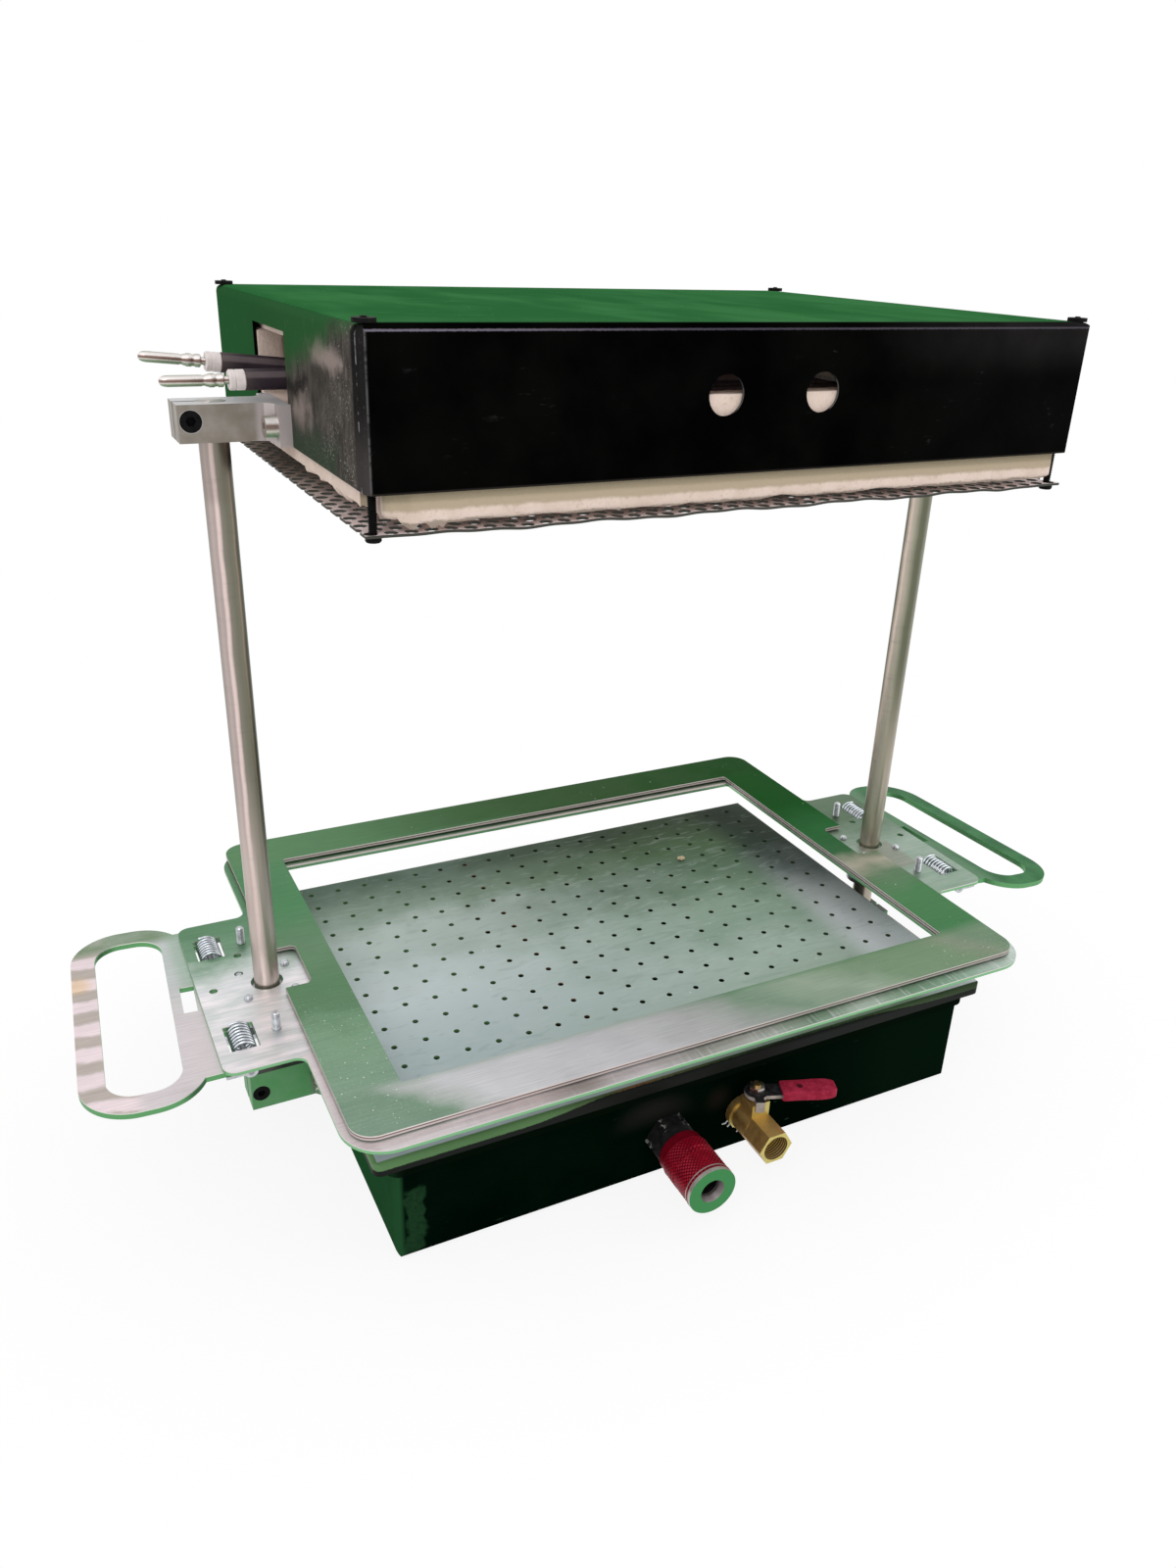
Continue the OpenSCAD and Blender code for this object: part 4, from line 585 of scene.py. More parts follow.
@dataclass(frozen=True)
class FrameSheet(BrushedSheet):
    """Lower frame: painted silver on the left ear where it reflects the lamps, with a painted green
    reflection at its rear, a painted green reflection on the right ear, and a streaked lip in front.
    """

    def patches(self, g: Graph) -> bpy.types.NodeSocket:
        """Painted reflection colours of the ears and of the lip outside the ring."""
        wave = (g.grain(20, detail=5, shift=0.6) - 0.5) * 0.05
        stroke = g.grain(7, stretch=(0.3, 1.3, 1.0), detail=4, shift=0.3)
        silver = g.mix(stroke.rise(0.35, 0.7), (206, 212, 211), (250, 243, 247))
        left_ear = g.along(g.y + wave, [(-64, (236, 229, 232)), (-2, (228, 228, 230)),
                                        (16, (190, 203, 195)), (32, (118, 152, 125)),
                                        (64, (98, 140, 106))])
        left_ear = g.mix(g.y.fall(-0.01, 0.02) * 0.75, left_ear, silver)
        green = g.mix(stroke.rise(0.35, 0.7), (144, 168, 150), (168, 184, 172))
        right_ear = g.along(g.y + wave, [(-64, (138, 160, 140)), (-10, (156, 174, 160)),
                                         (12, (126, 146, 128)), (34, (94, 118, 92)),
                                         (64, (100, 122, 98))])
        right_ear = g.mix(g.y.fall(-0.02, 0.01) * 0.6, right_ear, green)
        near_rod = g.x.within(0.176, 0.194, 0.004) * g.y.within(-0.03, -0.004, 0.006)
        lip = g.along(g.x + wave * 0.6, [
            (-182, (252, 243, 245)), (-140, (252, 245, 248)), (-105, (226, 216, 215)),
            (-80, (184, 177, 173)), (-50, (226, 222, 224)), (-18, (172, 177, 168)),
            (12, (190, 196, 188)), (44, (118, 148, 123)), (72, (176, 194, 179)),
            (102, (116, 148, 121)), (135, (136, 168, 145)), (182, (196, 210, 201))])
        streaks = g.grain(1.6, stretch=(1.0, 0.12, 1.0), detail=3, shift=0.4)
        lip = g.mix(streaks.rise(0.5, 0.75) * 0.5, lip, (232, 228, 232))
        left_lip = g.x.fall(-0.172, -0.168) * g.x.rise(-0.184, -0.1825)
        left_lip = left_lip * g.y.fall(-0.066, -0.062)
        inner = abs(g.x).fall(0.150, 0.152) * abs(g.y).fall(0.108, 0.112)
        colour = g.mix(g.x.rise(-0.05, 0.05), left_ear, right_ear)
        return g.coats(colour, (
            (near_rod * 0.5, (140, 128, 118)),
            (g.y.fall(-0.125, -0.105), lip),
            (left_lip, (234, 224, 226)),
            (inner, (232, 224, 220))))


@dataclass(frozen=True)
class HandleSheet(BrushedSheet):
    """Handle: the left one painted silver and pink where it reflects the lamps, with darker bands, the right
    one a deep green painted reflection of the room.
    """

    left: bool = True
    band_l: float = 19.5
    glow_at: tuple[float, float] = (-268.5, 34.0)

    def patches(self, g: Graph) -> bpy.types.NodeSocket:
        """Painted reflection colours of the loop and of the tongue inside it."""
        wave = g.grain(18, detail=4, shift=0.6) - 0.5
        if not self.left:
            cloud = (0.5 + wave * 2).rise(0.2, 0.8)
            colour = g.mix(cloud, (38, 100, 54), (54, 122, 68))
            return g.mix(g.x.fall(0.222, 0.236) * 0.5, colour, (120, 148, 124))
        bands = (g.y * (2 * math.pi / (self.band_l * MM)) + wave * 3 + g.x * 60).sine()
        outer = g.x.fall(-0.256, -0.248)
        # A soft painted orange glow on the left handle.
        glow = g.from_axis(g.x, g.y, self.glow_at)
        colour = g.mix(g.y.rise(-0.02, 0.03), (216, 208, 210), (196, 202, 200))
        return g.coats(colour, (
            (outer, g.mix(bands.rise(-0.5, 0.6), (190, 180, 173), (238, 222, 226))),
            (g.y.rise(0.056, 0.066) * (0.9 + wave), (128, 148, 120)),
            (g.x.rise(-0.226, -0.220) * g.y.rise(-0.004, 0.014) * 0.5, (150, 180, 156)),
            (glow.fall(0.002, 0.010) * 0.5, (226, 186, 110))))


@dataclass(frozen=True)
class PlatenMetal(Finish):
    """Dull aluminium of the platen, with a painted reflection that is pale in front and dark green at the
    back, and wiping marks.
    """

    def paint(self, g: Graph) -> bpy.types.Material:
        """Paint the platen's painted reflection from front to back, with strokes and dust, and a painted
        shadow low on its sides.
        """
        swirl = g.grain(34, detail=5)
        fine = g.grain(1.3, detail=3)
        tilted = g.add("ShaderNodeMapping", {}, {"Vector": g.place, "Rotation": (0.0, 0.0, math.radians(-28)),
                                                 "Scale": (0.24, 1.0, 1.0)}).outputs[0]
        strokes = Value(g, g.add("ShaderNodeTexNoise", {}, {"Vector": tilted, "Scale": 210.0, "Detail": 5.0,
                                                            "Distortion": 1.6}).outputs[0])
        # These ramps are painted reflections of the room and lamps, paler in front and greener and darker to
        # the back.
        depth = g.y + (swirl - 0.5) * 0.05
        left = g.along(depth, [
            (-115, (174, 188, 191)), (-60, (180, 195, 196)), (-10, (202, 214, 215)),
            (25, (184, 198, 193)), (50, (190, 203, 198)), (75, (150, 169, 155)),
            (118, (112, 134, 119))])
        right = g.along(depth, [
            (-115, (144, 167, 145)), (-50, (166, 185, 173)), (-20, (140, 164, 146)),
            (0, (141, 165, 146)), (25, (112, 137, 115)), (50, (88, 114, 90)),
            (75, (82, 108, 76)), (118, (76, 92, 70))])
        across = g.x + (swirl - 0.5) * 0.08
        blue = g.along(depth, [(-60, (232, 236, 241)), (-10, (204, 209, 211)), (25, (126, 135, 136)),
                               (55, (62, 76, 66)), (118, (58, 72, 58))])
        # The sides get painted reflections of the room, and below the frame's overhang a painted shadow.
        down = g.facing_z.fall(0.9, 0.98)
        skirt = g.along(g.x + (fine - 0.5) * 0.02, [
            (-162, (94, 134, 86)), (-122, (86, 124, 78)), (-88, (92, 130, 82)),
            (-60, (74, 92, 60)), (-40, (122, 84, 58)), (-28, (96, 98, 68)), (0, (62, 76, 48)),
            (40, (34, 46, 28)), (100, (70, 92, 60)), (162, (48, 66, 40))])
        above = g.z - g.x.rise(-0.10, -0.055) * 0.0034 + g.x.rise(0.09, 0.15) * 0.0026
        skirt = g.mix((above + (fine - 0.5) * 0.0008).fall(0.0586, 0.0592), skirt, (3, 9, 4))
        colour = g.mix(across.rise(-0.13, 0.10), left, right)
        colour = g.coats(colour, (
            (g.x.rise(0.118, 0.142) * 0.9, blue),
            (strokes.rise(0.52, 0.72) * 0.2, (196, 208, 202)),
            (strokes.fall(0.3, 0.46) * 0.14, (84, 104, 90)),
            (g.specks(5, 0.11, 0.25) * 0.7, (226, 230, 224)),
            (g.specks(11, 0.10, 0.2, 0.6) * 0.6, (176, 156, 130)),
            (down, skirt)))
        return g.finish({"Base Color": colour, "Metallic": 0.4 * g.facing_z.rise(0.35, 0.75),
                         "Roughness": 0.5 + swirl * 0.12, "Specular IOR Level": 0.15,
                         "Normal": g.relief(fine, 0.04, 0.3)})


@dataclass(frozen=True)
class GroundRod(Finish):
    """Ground steel of a rod: painted reflection bands along it that lie at fixed angles round it."""

    centre_x: float
    bands: Stops
    # Paler painted reflection towards the rod's foot.
    foot: Colour = (214, 198, 190)
    first_deg: float = -180.0

    def paint(self, g: Graph) -> bpy.types.Material:
        """Paint the painted reflection bands by the angle round the rod, paler at its foot, with painted
        shade just below the hood arm.
        """
        start = math.radians(self.first_deg)
        east, north = g.x - self.centre_x * MM, g.y
        turned_x = east * math.cos(start) + north * math.sin(start)
        turned_y = north * math.cos(start) - east * math.sin(start)
        turn = (turned_y * -1).atan2(turned_x * -1) / (2 * math.pi) + 0.5
        fine = g.grain(0.7, stretch=(1.0, 1.0, 0.08), detail=4)
        drift = g.grain(30, stretch=(0.3, 0.3, 1.0), detail=2, shift=0.5)
        rings = g.grain(3.0, stretch=(0.2, 0.2, 1.0), detail=4, shift=0.1)
        # Painted shade where the rod passes just below the hood arm.
        under = g.z.within(0.322, 0.345, 0.006)
        colour = g.ramp(turn + (fine - 0.5) * 0.015 + (drift - 0.5) * 0.05, self.bands)
        colour = g.coats(colour, (
            ((rings - 0.5).rise(0.0, 0.3) * 0.2, (96, 92, 82)),
            (g.z.fall(0.120, 0.210) * 0.7, self.foot),
            (under * 0.3, (112, 102, 92))))
        return g.finish({"Base Color": colour, "Metallic": 0.85, "Roughness": 0.26 + fine * 0.1,
                         "Normal": g.relief(fine, 0.015, 0.25)})


@dataclass(frozen=True)
class Plated(Finish):
    """Plated or polished metal of screws, pins and springs."""

    colour: Colour = (205, 208, 212)
    dark: Colour = (140, 142, 146)
    rough: float = 0.28
    metallic: float = 1.0

    def paint(self, g: Graph) -> bpy.types.Material:
        """Paint a plated metal with faint stains."""
        stain = g.grain(2.6, detail=4)
        colour = g.mix(stain.rise(0.35, 0.75) * 0.6, self.colour, self.dark)
        return g.finish({"Base Color": colour, "Metallic": self.metallic,
                         "Roughness": self.rough + stain * 0.12})


@dataclass(frozen=True)
class PolishedPin(Finish):
    """Bright plating with painted reflections of the room in lines along a pin."""

    # Painted reflection colours: the bright lamps, a dark band at the middle and the green room below.
    sky: Colour = (250, 244, 241)
    waist: Colour = (112, 84, 74)
    floor: Colour = (104, 134, 96)

    def paint(self, g: Graph) -> bpy.types.Material:
        """Paint the painted reflection lines by how far the surface faces up."""
        stain = g.grain(1.6, detail=3)
        tilt = g.facing_z * 0.5 + 0.5 + (stain - 0.5) * 0.05
        colour = g.ramp(tilt, ((0.0, self.floor), (0.24, (150, 168, 140)), (0.36, (226, 218, 210)),
                               (0.47, self.waist), (0.62, (150, 122, 112)), (0.74, self.sky),
                               (0.90, (232, 224, 220)), (1.0, (142, 146, 128))))
        return g.finish({"Base Color": colour, "Metallic": 0.35, "Roughness": 0.24 + stain * 0.1})


@dataclass(frozen=True)
class PunchedSheet(Finish):
    """Punched sheet: pale and dusty on top, with painted shade on the walls of its holes."""

    top: Colour = (232, 216, 216)
    # Painted shade on the walls of the holes.
    hole: Colour = (66, 66, 60)

    def paint(self, g: Graph) -> bpy.types.Material:
        """Paint the sheet, browner to the rear, with heat stains and painted shade in its holes."""
        stain = g.grain(9, detail=4)
        fine = g.grain(1.2, detail=3, shift=0.4)
        colour = g.along(g.y + (stain - 0.5) * 0.04, ((-116, self.top), (-70, (212, 196, 195)),
                                                      (-30, (176, 160, 155)), (20, (104, 88, 80)),
                                                      (116, (124, 112, 106))))
        colour = g.coats(colour, (
            (stain.rise(0.5, 0.8) * 0.5, (104, 92, 88)),
            (fine.rise(0.6, 0.75) * 0.35, (232, 220, 218)),
            ((g.facing_z ** 2.0).fall(0.3, 0.6), self.hole)))
        return g.finish({"Base Color": colour, "Metallic": 0.2, "Roughness": 0.5,
                         "Specular IOR Level": 0.2})


@dataclass(frozen=True)
class BlastedBlock(Finish):
    """Milled aluminium block: painted light on top, darker at its sides, with a painted highlight ring round
    its screw.
    """

    top: Colour = (218, 217, 219)
    face: Colour = (138, 130, 119)
    stain: Colour = (160, 152, 144)
    end: Colour = (200, 190, 190)
    screw: tuple[float, float] = (194.1, 351.2)

    def paint(self, g: Graph) -> bpy.types.Material:
        """Paint the block's faces, with the marks of the cutter."""
        cloud = g.grain(9, detail=4)
        sand = g.grain(0.5, detail=2)
        mill = g.grain(1.2, stretch=(0.08, 1.0, 1.0), detail=3, shift=0.3)
        # The top faces get the painted lit colour, and a ring round the screw gets it too as a painted
        # highlight.
        up = g.facing_z.rise(0.3, 0.8)
        flange = abs(g.x).fall(0.1675, 0.1705)
        away = g.from_axis(abs(g.x), g.z, self.screw)
        colour = g.mix(cloud.rise(0.3, 0.7), self.face, self.stain)
        colour = g.coats(colour, (
            (flange * 0.8, self.end),
            (away.within(0.0034, 0.0042, 0.0004) * 0.6, self.top),
            (up, self.top),
            ((mill - 0.5).rise(0.05, 0.3) * 0.15, self.stain)))
        return g.finish({"Base Color": colour, "Metallic": 0.55, "Roughness": 0.42 + sand * 0.1,
                         "Normal": g.relief(sand + mill * 0.5, 0.05, 0.3)})


@dataclass(frozen=True)
class FibreBoard(Finish):
    """Ceramic fibre board: soft and pale, shaded under the hood and torn below."""

    def paint(self, g: Graph) -> bpy.types.Material:
        """Paint the board with fibres and pits, and painted shade just below the hood."""
        cloud = g.grain(12, detail=5)
        pits = g.grain(1.4, detail=4, shift=0.4)
        edge = (cloud - 0.5) * 0.002 + (pits - 0.5) * 0.001
        # These bands are painted shade on the board's front just below the hood's edge.
        shaded = g.z.within(0.3362, 0.345, 0.0006)
        middle = (g.z + edge).within(0.3352, 0.3382, 0.0005)
        front = (g.facing_y * -1).rise(0.2, 0.6)
        upper = (g.z + edge).rise(0.3348, 0.3362) * g.z.fall(0.346, 0.348)
        torn = (g.z + edge * 1.5).fall(0.3312, 0.3322)
        colour = g.mix(cloud.rise(0.3, 0.75), (232, 212, 200), (218, 198, 184))
        colour = g.coats(colour, (
            (front * upper, (182, 166, 143)),
            (front * shaded * g.z.rise(0.3375, 0.3395), (160, 148, 124)),
            (middle * front * 0.2, (196, 178, 156)),
            (pits.rise(0.56, 0.72) * 0.35, (178, 160, 140)),
            (torn * front * 0.7, (120, 108, 94))))
        return g.finish({"Base Color": colour, "Roughness": 0.95, "Specular IOR Level": 0.0,
                         "Normal": g.relief(pits + cloud * 0.4, 0.5, 0.7)})


@dataclass(frozen=True)
class HeaterSheath(Finish):
    """Tubular heater, darkened and purple from its heat, with a painted highlight along its upper side."""

    def paint(self, g: Graph) -> bpy.types.Material:
        """Paint the sheath's heat colours and its painted highlight."""
        cloud = g.grain(7, detail=4)
        shine = g.facing_z.within(0.35, 0.7, 0.2) * (0.5 + cloud * 0.5)
        colour = g.mix(cloud, (38, 30, 37), (60, 50, 57))
        colour = g.coats(colour, (
            (shine * 0.6, (128, 116, 118)),
            (g.x.fall(-0.176, -0.165) * 0.35, (120, 108, 104))))
        return g.finish({"Base Color": colour, "Metallic": 0.2, "Roughness": 0.5 + cloud * 0.15,
                         "Specular IOR Level": 0.1})


@dataclass(frozen=True)
class CastBrass(Finish):
    """Brass of the valve: sandy where it is cast, bright where it is cut, painted lighter on top and darker
    underneath.
    """

    bore_r: float = 6.7
    thread_pitch: float = 1.35

    def paint(self, g: Graph) -> bpy.types.Material:
        """Paint the brass with sand and tarnish, painted light on top, painted shade underneath, and painted
        shade and highlight on the thread turns in the bore.
        """
        sand = g.grain(0.55, detail=3)
        tarnish = g.grain(6, detail=4, shift=0.6)
        # Painted light on faces looking up and painted shade on faces looking down.
        up = g.facing_z.rise(0.35, 0.75)
        under = (g.facing_z * -1).rise(0.2, 0.8)
        bore = g.from_axis(g.x, g.z, VALVE_AXIS).fall(self.bore_r * MM, (self.bore_r + 0.2) * MM)
        # Thread turns in the bore drawn as painted shade and highlight.
        turns = ((g.y * (2 * math.pi / (self.thread_pitch * MM))).sine() * 0.5 + 0.5).rise(0.2, 0.7)
        cut = g.mix(turns, (92, 68, 34), (232, 206, 148))
        colour = g.mix(tarnish.rise(0.35, 0.7), (206, 164, 98), (156, 118, 62))
        colour = g.coats(colour, (
            (up * 0.6, (222, 184, 116)),
            (under * 0.5, (112, 84, 42)),
            ((g.facing_y * -1).rise(0.8, 0.95) * 0.7, (206, 200, 118)),
            (bore * (g.facing_y ** 2.0).fall(0.2, 0.5), cut),
            (sand.rise(0.6, 0.75) * 0.3, (240, 214, 160)),
            (g.y.rise(-0.1205, -0.1185) * 0.4, (128, 96, 56))))
        return g.finish({"Base Color": colour, "Metallic": 0.75, "Roughness": 0.34 + sand * 0.16,
                         "Normal": g.relief(sand, 0.09, 0.5)})


@dataclass(frozen=True)
class RedAnodised(Finish):
    """Red anodised aluminium of the coupler's sleeve, with painted shade in its cross cuts and on its right
    and lower sides, painted highlights on the knurl, and darker at its rear.
    """

    def paint(self, g: Graph) -> bpy.types.Material:
        """Paint the red with painted shade and highlights on the knurl and sides, and a darker rear band."""
        cloud = g.grain(5, detail=3)
        rear = (g.y + 0.1350).rise(-0.0015, 0.0015)
        turn = (g.z - COUPLER_AXIS[1] * MM).atan2(g.x - COUPLER_AXIS[0] * MM) * KNURL_TURNS
        run = (g.y - TRAY_FRONT_Y * MM) * (-KNURL_SLOPE / MM)
        # Painted shade in the cross cuts and a painted highlight on the crests that face up.
        cut = abs((turn + run).sine()).least(abs((turn - run).sine()))
        lit = g.facing_z.within(0.55, 0.8, 0.2)
        colour = g.mix(cloud.rise(0.3, 0.7), (178, 18, 46), (146, 10, 36))
        # Faces looking right and down get painted shade.
        colour = g.coats(colour, (
            (cut.fall(0.1, 0.75) * 0.75 * (1 - rear), (70, 2, 14)),
            (lit * cut.rise(0.5, 0.95) * 0.35 * (1 - rear), (226, 96, 116)),
            (g.facing_x.rise(0.2, 0.9) * 0.5, (110, 6, 24)),
            ((g.facing_z * -1).rise(0.0, 0.8) * 0.55, (84, 5, 18)),
            (rear * 0.65, (84, 4, 16))))
        return g.finish({"Base Color": colour, "Metallic": 0.35, "Roughness": 0.36 + cloud * 0.1,
                         "Specular IOR Level": 0.12})


@dataclass(frozen=True)
class CouplerSteel(Finish):
    """Dark steel of the coupler, with a bright ring in front and a painted reflection of the green room on
    its face.
    """

    front_y: float = -159.0

    def paint(self, g: Graph) -> bpy.types.Material:
        """Paint the hexagon with worn corners, the ring, the face's painted reflection and the mouth, with
        painted shade deep inside it.
        """
        cloud = g.grain(4, detail=3)
        ahead = g.y - self.front_y * MM
        away = g.from_axis(g.x, g.z, COUPLER_AXIS)
        face = (g.facing_y * -1).rise(0.9, 0.97) * ahead.fall(0.0008, 0.0016)
        ring = ahead.fall(0.0042, 0.0046)
        worn = away.rise(0.0112, 0.0122) * g.grain(2.2, detail=3, shift=0.4).rise(0.5, 0.58)
        # The mouth's centre is painted shade.
        mouth = away.fall(0.0086, 0.0090) * ring
        colour = g.mix(cloud.rise(0.3, 0.7), (36, 36, 37), (56, 56, 57))
        colour = g.coats(colour, (
            (worn.least(1.0) * 0.85, (196, 202, 192)),
            (ring, (190, 184, 178)),
            (mouth, (150, 142, 142)),
            (mouth * away.fall(0.0042, 0.0056), (34, 30, 28)),
            (face, (62, 136, 78))))
        return g.finish({"Base Color": colour, "Metallic": 0.6, "Roughness": 0.3 + cloud * 0.12,
                         "Specular IOR Level": 0.1})


@dataclass(frozen=True)
class Plain(Finish):
    """Dull or glossy material with a little unevenness."""

    colour: Colour
    second: Colour
    grain_size: float = 3.0
    rough: float = 0.6
    specular: float = 0.3
    depth: float = 0.05

    def paint(self, g: Graph) -> bpy.types.Material:
        """Paint two close shades."""
        cloud = g.grain(self.grain_size, detail=4)
        colour = g.mix(cloud.rise(0.3, 0.7), self.colour, self.second)
        return g.finish({"Base Color": colour, "Roughness": self.rough + cloud * 0.1,
                         "Specular IOR Level": self.specular, "Normal": g.relief(cloud, self.depth, 0.5)})


@dataclass(frozen=True)
class VinylGrip(Finish):
    """Red vinyl dip of the lever, dusty and scuffed, with one dark spot."""

    spot: tuple[float, float] = (40.5, -135.5)

    def paint(self, g: Graph) -> bpy.types.Material:
        """Paint the vinyl, with painted shade on its underside."""
        cloud = g.grain(4, detail=5)
        dust = g.grain(0.8, detail=3, shift=0.3)
        across = g.from_axis(g.x, g.y, self.spot)
        colour = g.mix(cloud.rise(0.3, 0.7), (168, 44, 70), (140, 26, 50))
        # Sides and underside get painted shade, strongest underneath.
        colour = g.coats(colour, (
            (dust.rise(0.55, 0.75) * 0.35, (192, 112, 124)),
            ((g.facing_z * -1).rise(-0.2, 0.5) * 0.6, (120, 16, 38)),
            (across.fall(0.0012, 0.0019) * 0.85, (40, 16, 20))))
        return g.finish({"Base Color": colour, "Roughness": 0.55 + dust * 0.15, "Specular IOR Level": 0.06,
                         "Normal": g.relief(dust, 0.06, 0.5)})


@dataclass(frozen=True)
class LeverSteel(Finish):
    """Blackened lever, worn to bright steel along its lower edges."""

    def paint(self, g: Graph) -> bpy.types.Material:
        """Paint the black with its worn edge."""
        cloud = g.grain(3, detail=4)
        side = abs(g.facing_z).fall(0.3, 0.7)
        worn = side * (0.45 + cloud * 0.9).least(1.0) * g.x.fall(0.026, 0.032)
        colour = g.mix(cloud.rise(0.35, 0.7), (22, 22, 24), (52, 50, 54))
        colour = g.mix(worn * 0.8, colour, (186, 176, 168))
        return g.finish({"Base Color": colour, "Metallic": 0.3, "Roughness": 0.42 + cloud * 0.1,
                         "Specular IOR Level": 0.1})


# ------------------------------------------------------------------- modelling


class Bench:
    """Modelling moves that the sub-assemblies share. The pieces that they give back lie at the origin."""

    @staticmethod
    def let_go() -> None:
        """Deselect every object."""
        bpy.ops.object.select_all(action="DESELECT")

    @staticmethod
    def settle(obj: bpy.types.Object, name: str) -> bpy.types.Object:
        """Name an object and put its place into its mesh.

        Args:
            obj: The object.
            name: Name of the piece.

        Returns:
            The same object.
        """
        obj.name = name
        obj.data.name = name
        Bench.hold(obj)
        bpy.ops.object.transform_apply(location=True, rotation=True, scale=True)
        return obj

    @staticmethod
    def hold(*pieces: bpy.types.Object) -> None:
        """Select only these objects and make the first the active one."""
        Bench.let_go()
        for piece in pieces:
            piece.select_set(True)
        bpy.context.view_layer.objects.active = pieces[0]

    @staticmethod
    def joined(name: str, pieces: Sequence[bpy.types.Object]) -> bpy.types.Object:
        """Join pieces into the first of them, under one name."""
        Bench.hold(*pieces)
        if len(pieces) > 1:
            bpy.ops.object.join()
        return Bench.settle(bpy.context.object, name)

    @staticmethod
    @contextmanager
    def editing(obj: bpy.types.Object) -> Iterator[None]:
        """Edit a whole mesh, all of it selected at first."""
        Bench.hold(obj)
        bpy.ops.object.mode_set(mode="EDIT")
        bpy.ops.mesh.select_all(action="SELECT")
        yield
        bpy.ops.object.mode_set(mode="OBJECT")

    @staticmethod
    def link(name: str, data: bpy.types.ID) -> bpy.types.Object:
        """Put new data on show as an object."""
        obj = bpy.data.objects.new(name, data)
        bpy.context.scene.collection.objects.link(obj)
        return obj

    @staticmethod
    def turned(name: str, rings: Sequence[tuple[float, float]], sides: int, closed: bool = False
               ) -> bpy.types.Object:
        """Turn a piece as on a lathe, round Z.

        Args:
            name: Name of the piece.
            rings: Radius and height of each ring in millimetres, in order along the profile.
            sides: Number of sides round it.
            closed: Whether the profile comes back to its first ring, as on a tube.

        Returns:
            The turned piece.
        """
        Bench.let_go()
        radius, height = rings[0]
        bpy.ops.mesh.primitive_circle_add(vertices=sides, radius=radius * MM, location=(0, 0, 0))
        obj = bpy.context.object
        with Bench.editing(obj):
            bpy.ops.transform.translate(value=(0, 0, height * MM))
            if not closed:
                bpy.ops.mesh.edge_face_add()
                bpy.ops.mesh.select_all(action="SELECT")
                bpy.ops.mesh.duplicate()
            for next_radius, next_height in [*rings[1:], *(rings[:1] if closed else [])]:
                bpy.ops.mesh.extrude_region_move(
                    TRANSFORM_OT_translate={"value": (0, 0, (next_height - height) * MM)})
                share = next_radius / radius
                bpy.ops.transform.resize(value=(share, share, 1))
                radius, height = next_radius, next_height
            bpy.ops.mesh.select_all(action="SELECT")
            bpy.ops.mesh.remove_doubles(threshold=2e-6)
            bpy.ops.mesh.normals_make_consistent(inside=False)
        return Bench.settle(obj, name)

    @staticmethod
    def place(obj: bpy.types.Object, move: Sequence[float], turn: Matrix | None = None) -> bpy.types.Object:
        """Turn a piece about the origin and move it, in its mesh.

        Args:
            obj: The piece.
            move: Where the origin goes, in millimetres.
            turn: The turn, made before the move.

        Returns:
            The same piece.
        """
        matrix = Matrix.Translation(Vector(move) * MM)
        if turn is not None:
            matrix = matrix @ turn.to_4x4()
        obj.data.transform(matrix)
        obj.data.update()
        return obj

    @staticmethod
    def copies(obj: bpy.types.Object, name: str, places: Iterable[tuple[Sequence[float], Matrix | None]]
               ) -> bpy.types.Object:
        """Copy a piece to several places and join the copies into one.

        Args:
            obj: The piece, which is used up.
            name: Name of the joined piece.
            places: A move and a turn for each copy.

        Returns:
            The joined piece.
        """
        made = [Bench.place(Bench.link(name, obj.data.copy()), move, turn) for move, turn in places]
        bpy.data.objects.remove(obj)
        return Bench.joined(name, made)

    @staticmethod
    def wire(name: str, points: Sequence[Vector], radius: float) -> bpy.types.Object:
        """Bend a round wire along points.

        Args:
            name: Name of the piece.
            points: Its centre line in metres.
            radius: Radius of the wire in millimetres.

        Returns:
            The wire as a mesh.
        """
        Bench.let_go()
        curve = bpy.data.curves.new(name, "CURVE")
        curve.dimensions = "3D"
        curve.bevel_depth = radius * MM
        curve.bevel_resolution = 3
        curve.use_fill_caps = True
        spline = curve.splines.new("POLY")
        spline.points.add(len(points) - 1)
        for point, position in zip(spline.points, points):
            point.co = (*position, 1.0)
        Bench.hold(Bench.link(name, curve))
        bpy.ops.object.convert(target="MESH")
        return Bench.settle(bpy.context.object, name)

    @staticmethod
    def smooth(obj: bpy.types.Object, degrees: float = 35.0) -> bpy.types.Object:
        """Shade a piece smooth up to an angle."""
        Bench.hold(obj)
        bpy.ops.object.shade_smooth_by_angle(angle=math.radians(degrees))
        return obj

    @staticmethod
    def apply(obj: bpy.types.Object, kind: str, settings: dict[str, object]) -> None:
        """Add a modifier and apply it.

        Args:
            obj: The piece.
            kind: Type of the modifier.
            settings: Its properties.
        """
        modifier = obj.modifiers.new(kind.title(), kind)
        for key, value in settings.items():
            setattr(modifier, key, value)
        Bench.hold(obj)
        bpy.ops.object.modifier_apply(modifier=modifier.name)

    @staticmethod
    def block(name: str, low: Sequence[float], high: Sequence[float]) -> bpy.types.Object:
        """Cut a block between two corners in millimetres.

        Args:
            name: Name of the piece.
            low: Its lowest corner.
            high: Its highest corner.

        Returns:
            The block.
        """
        Bench.let_go()
        middle = [(a + b) / 2 * MM for a, b in zip(low, high)]
        bpy.ops.mesh.primitive_cube_add(size=1, location=middle)
        obj = bpy.context.object
        obj.scale = [(b - a) * MM for a, b in zip(low, high)]
        return Bench.settle(obj, name)


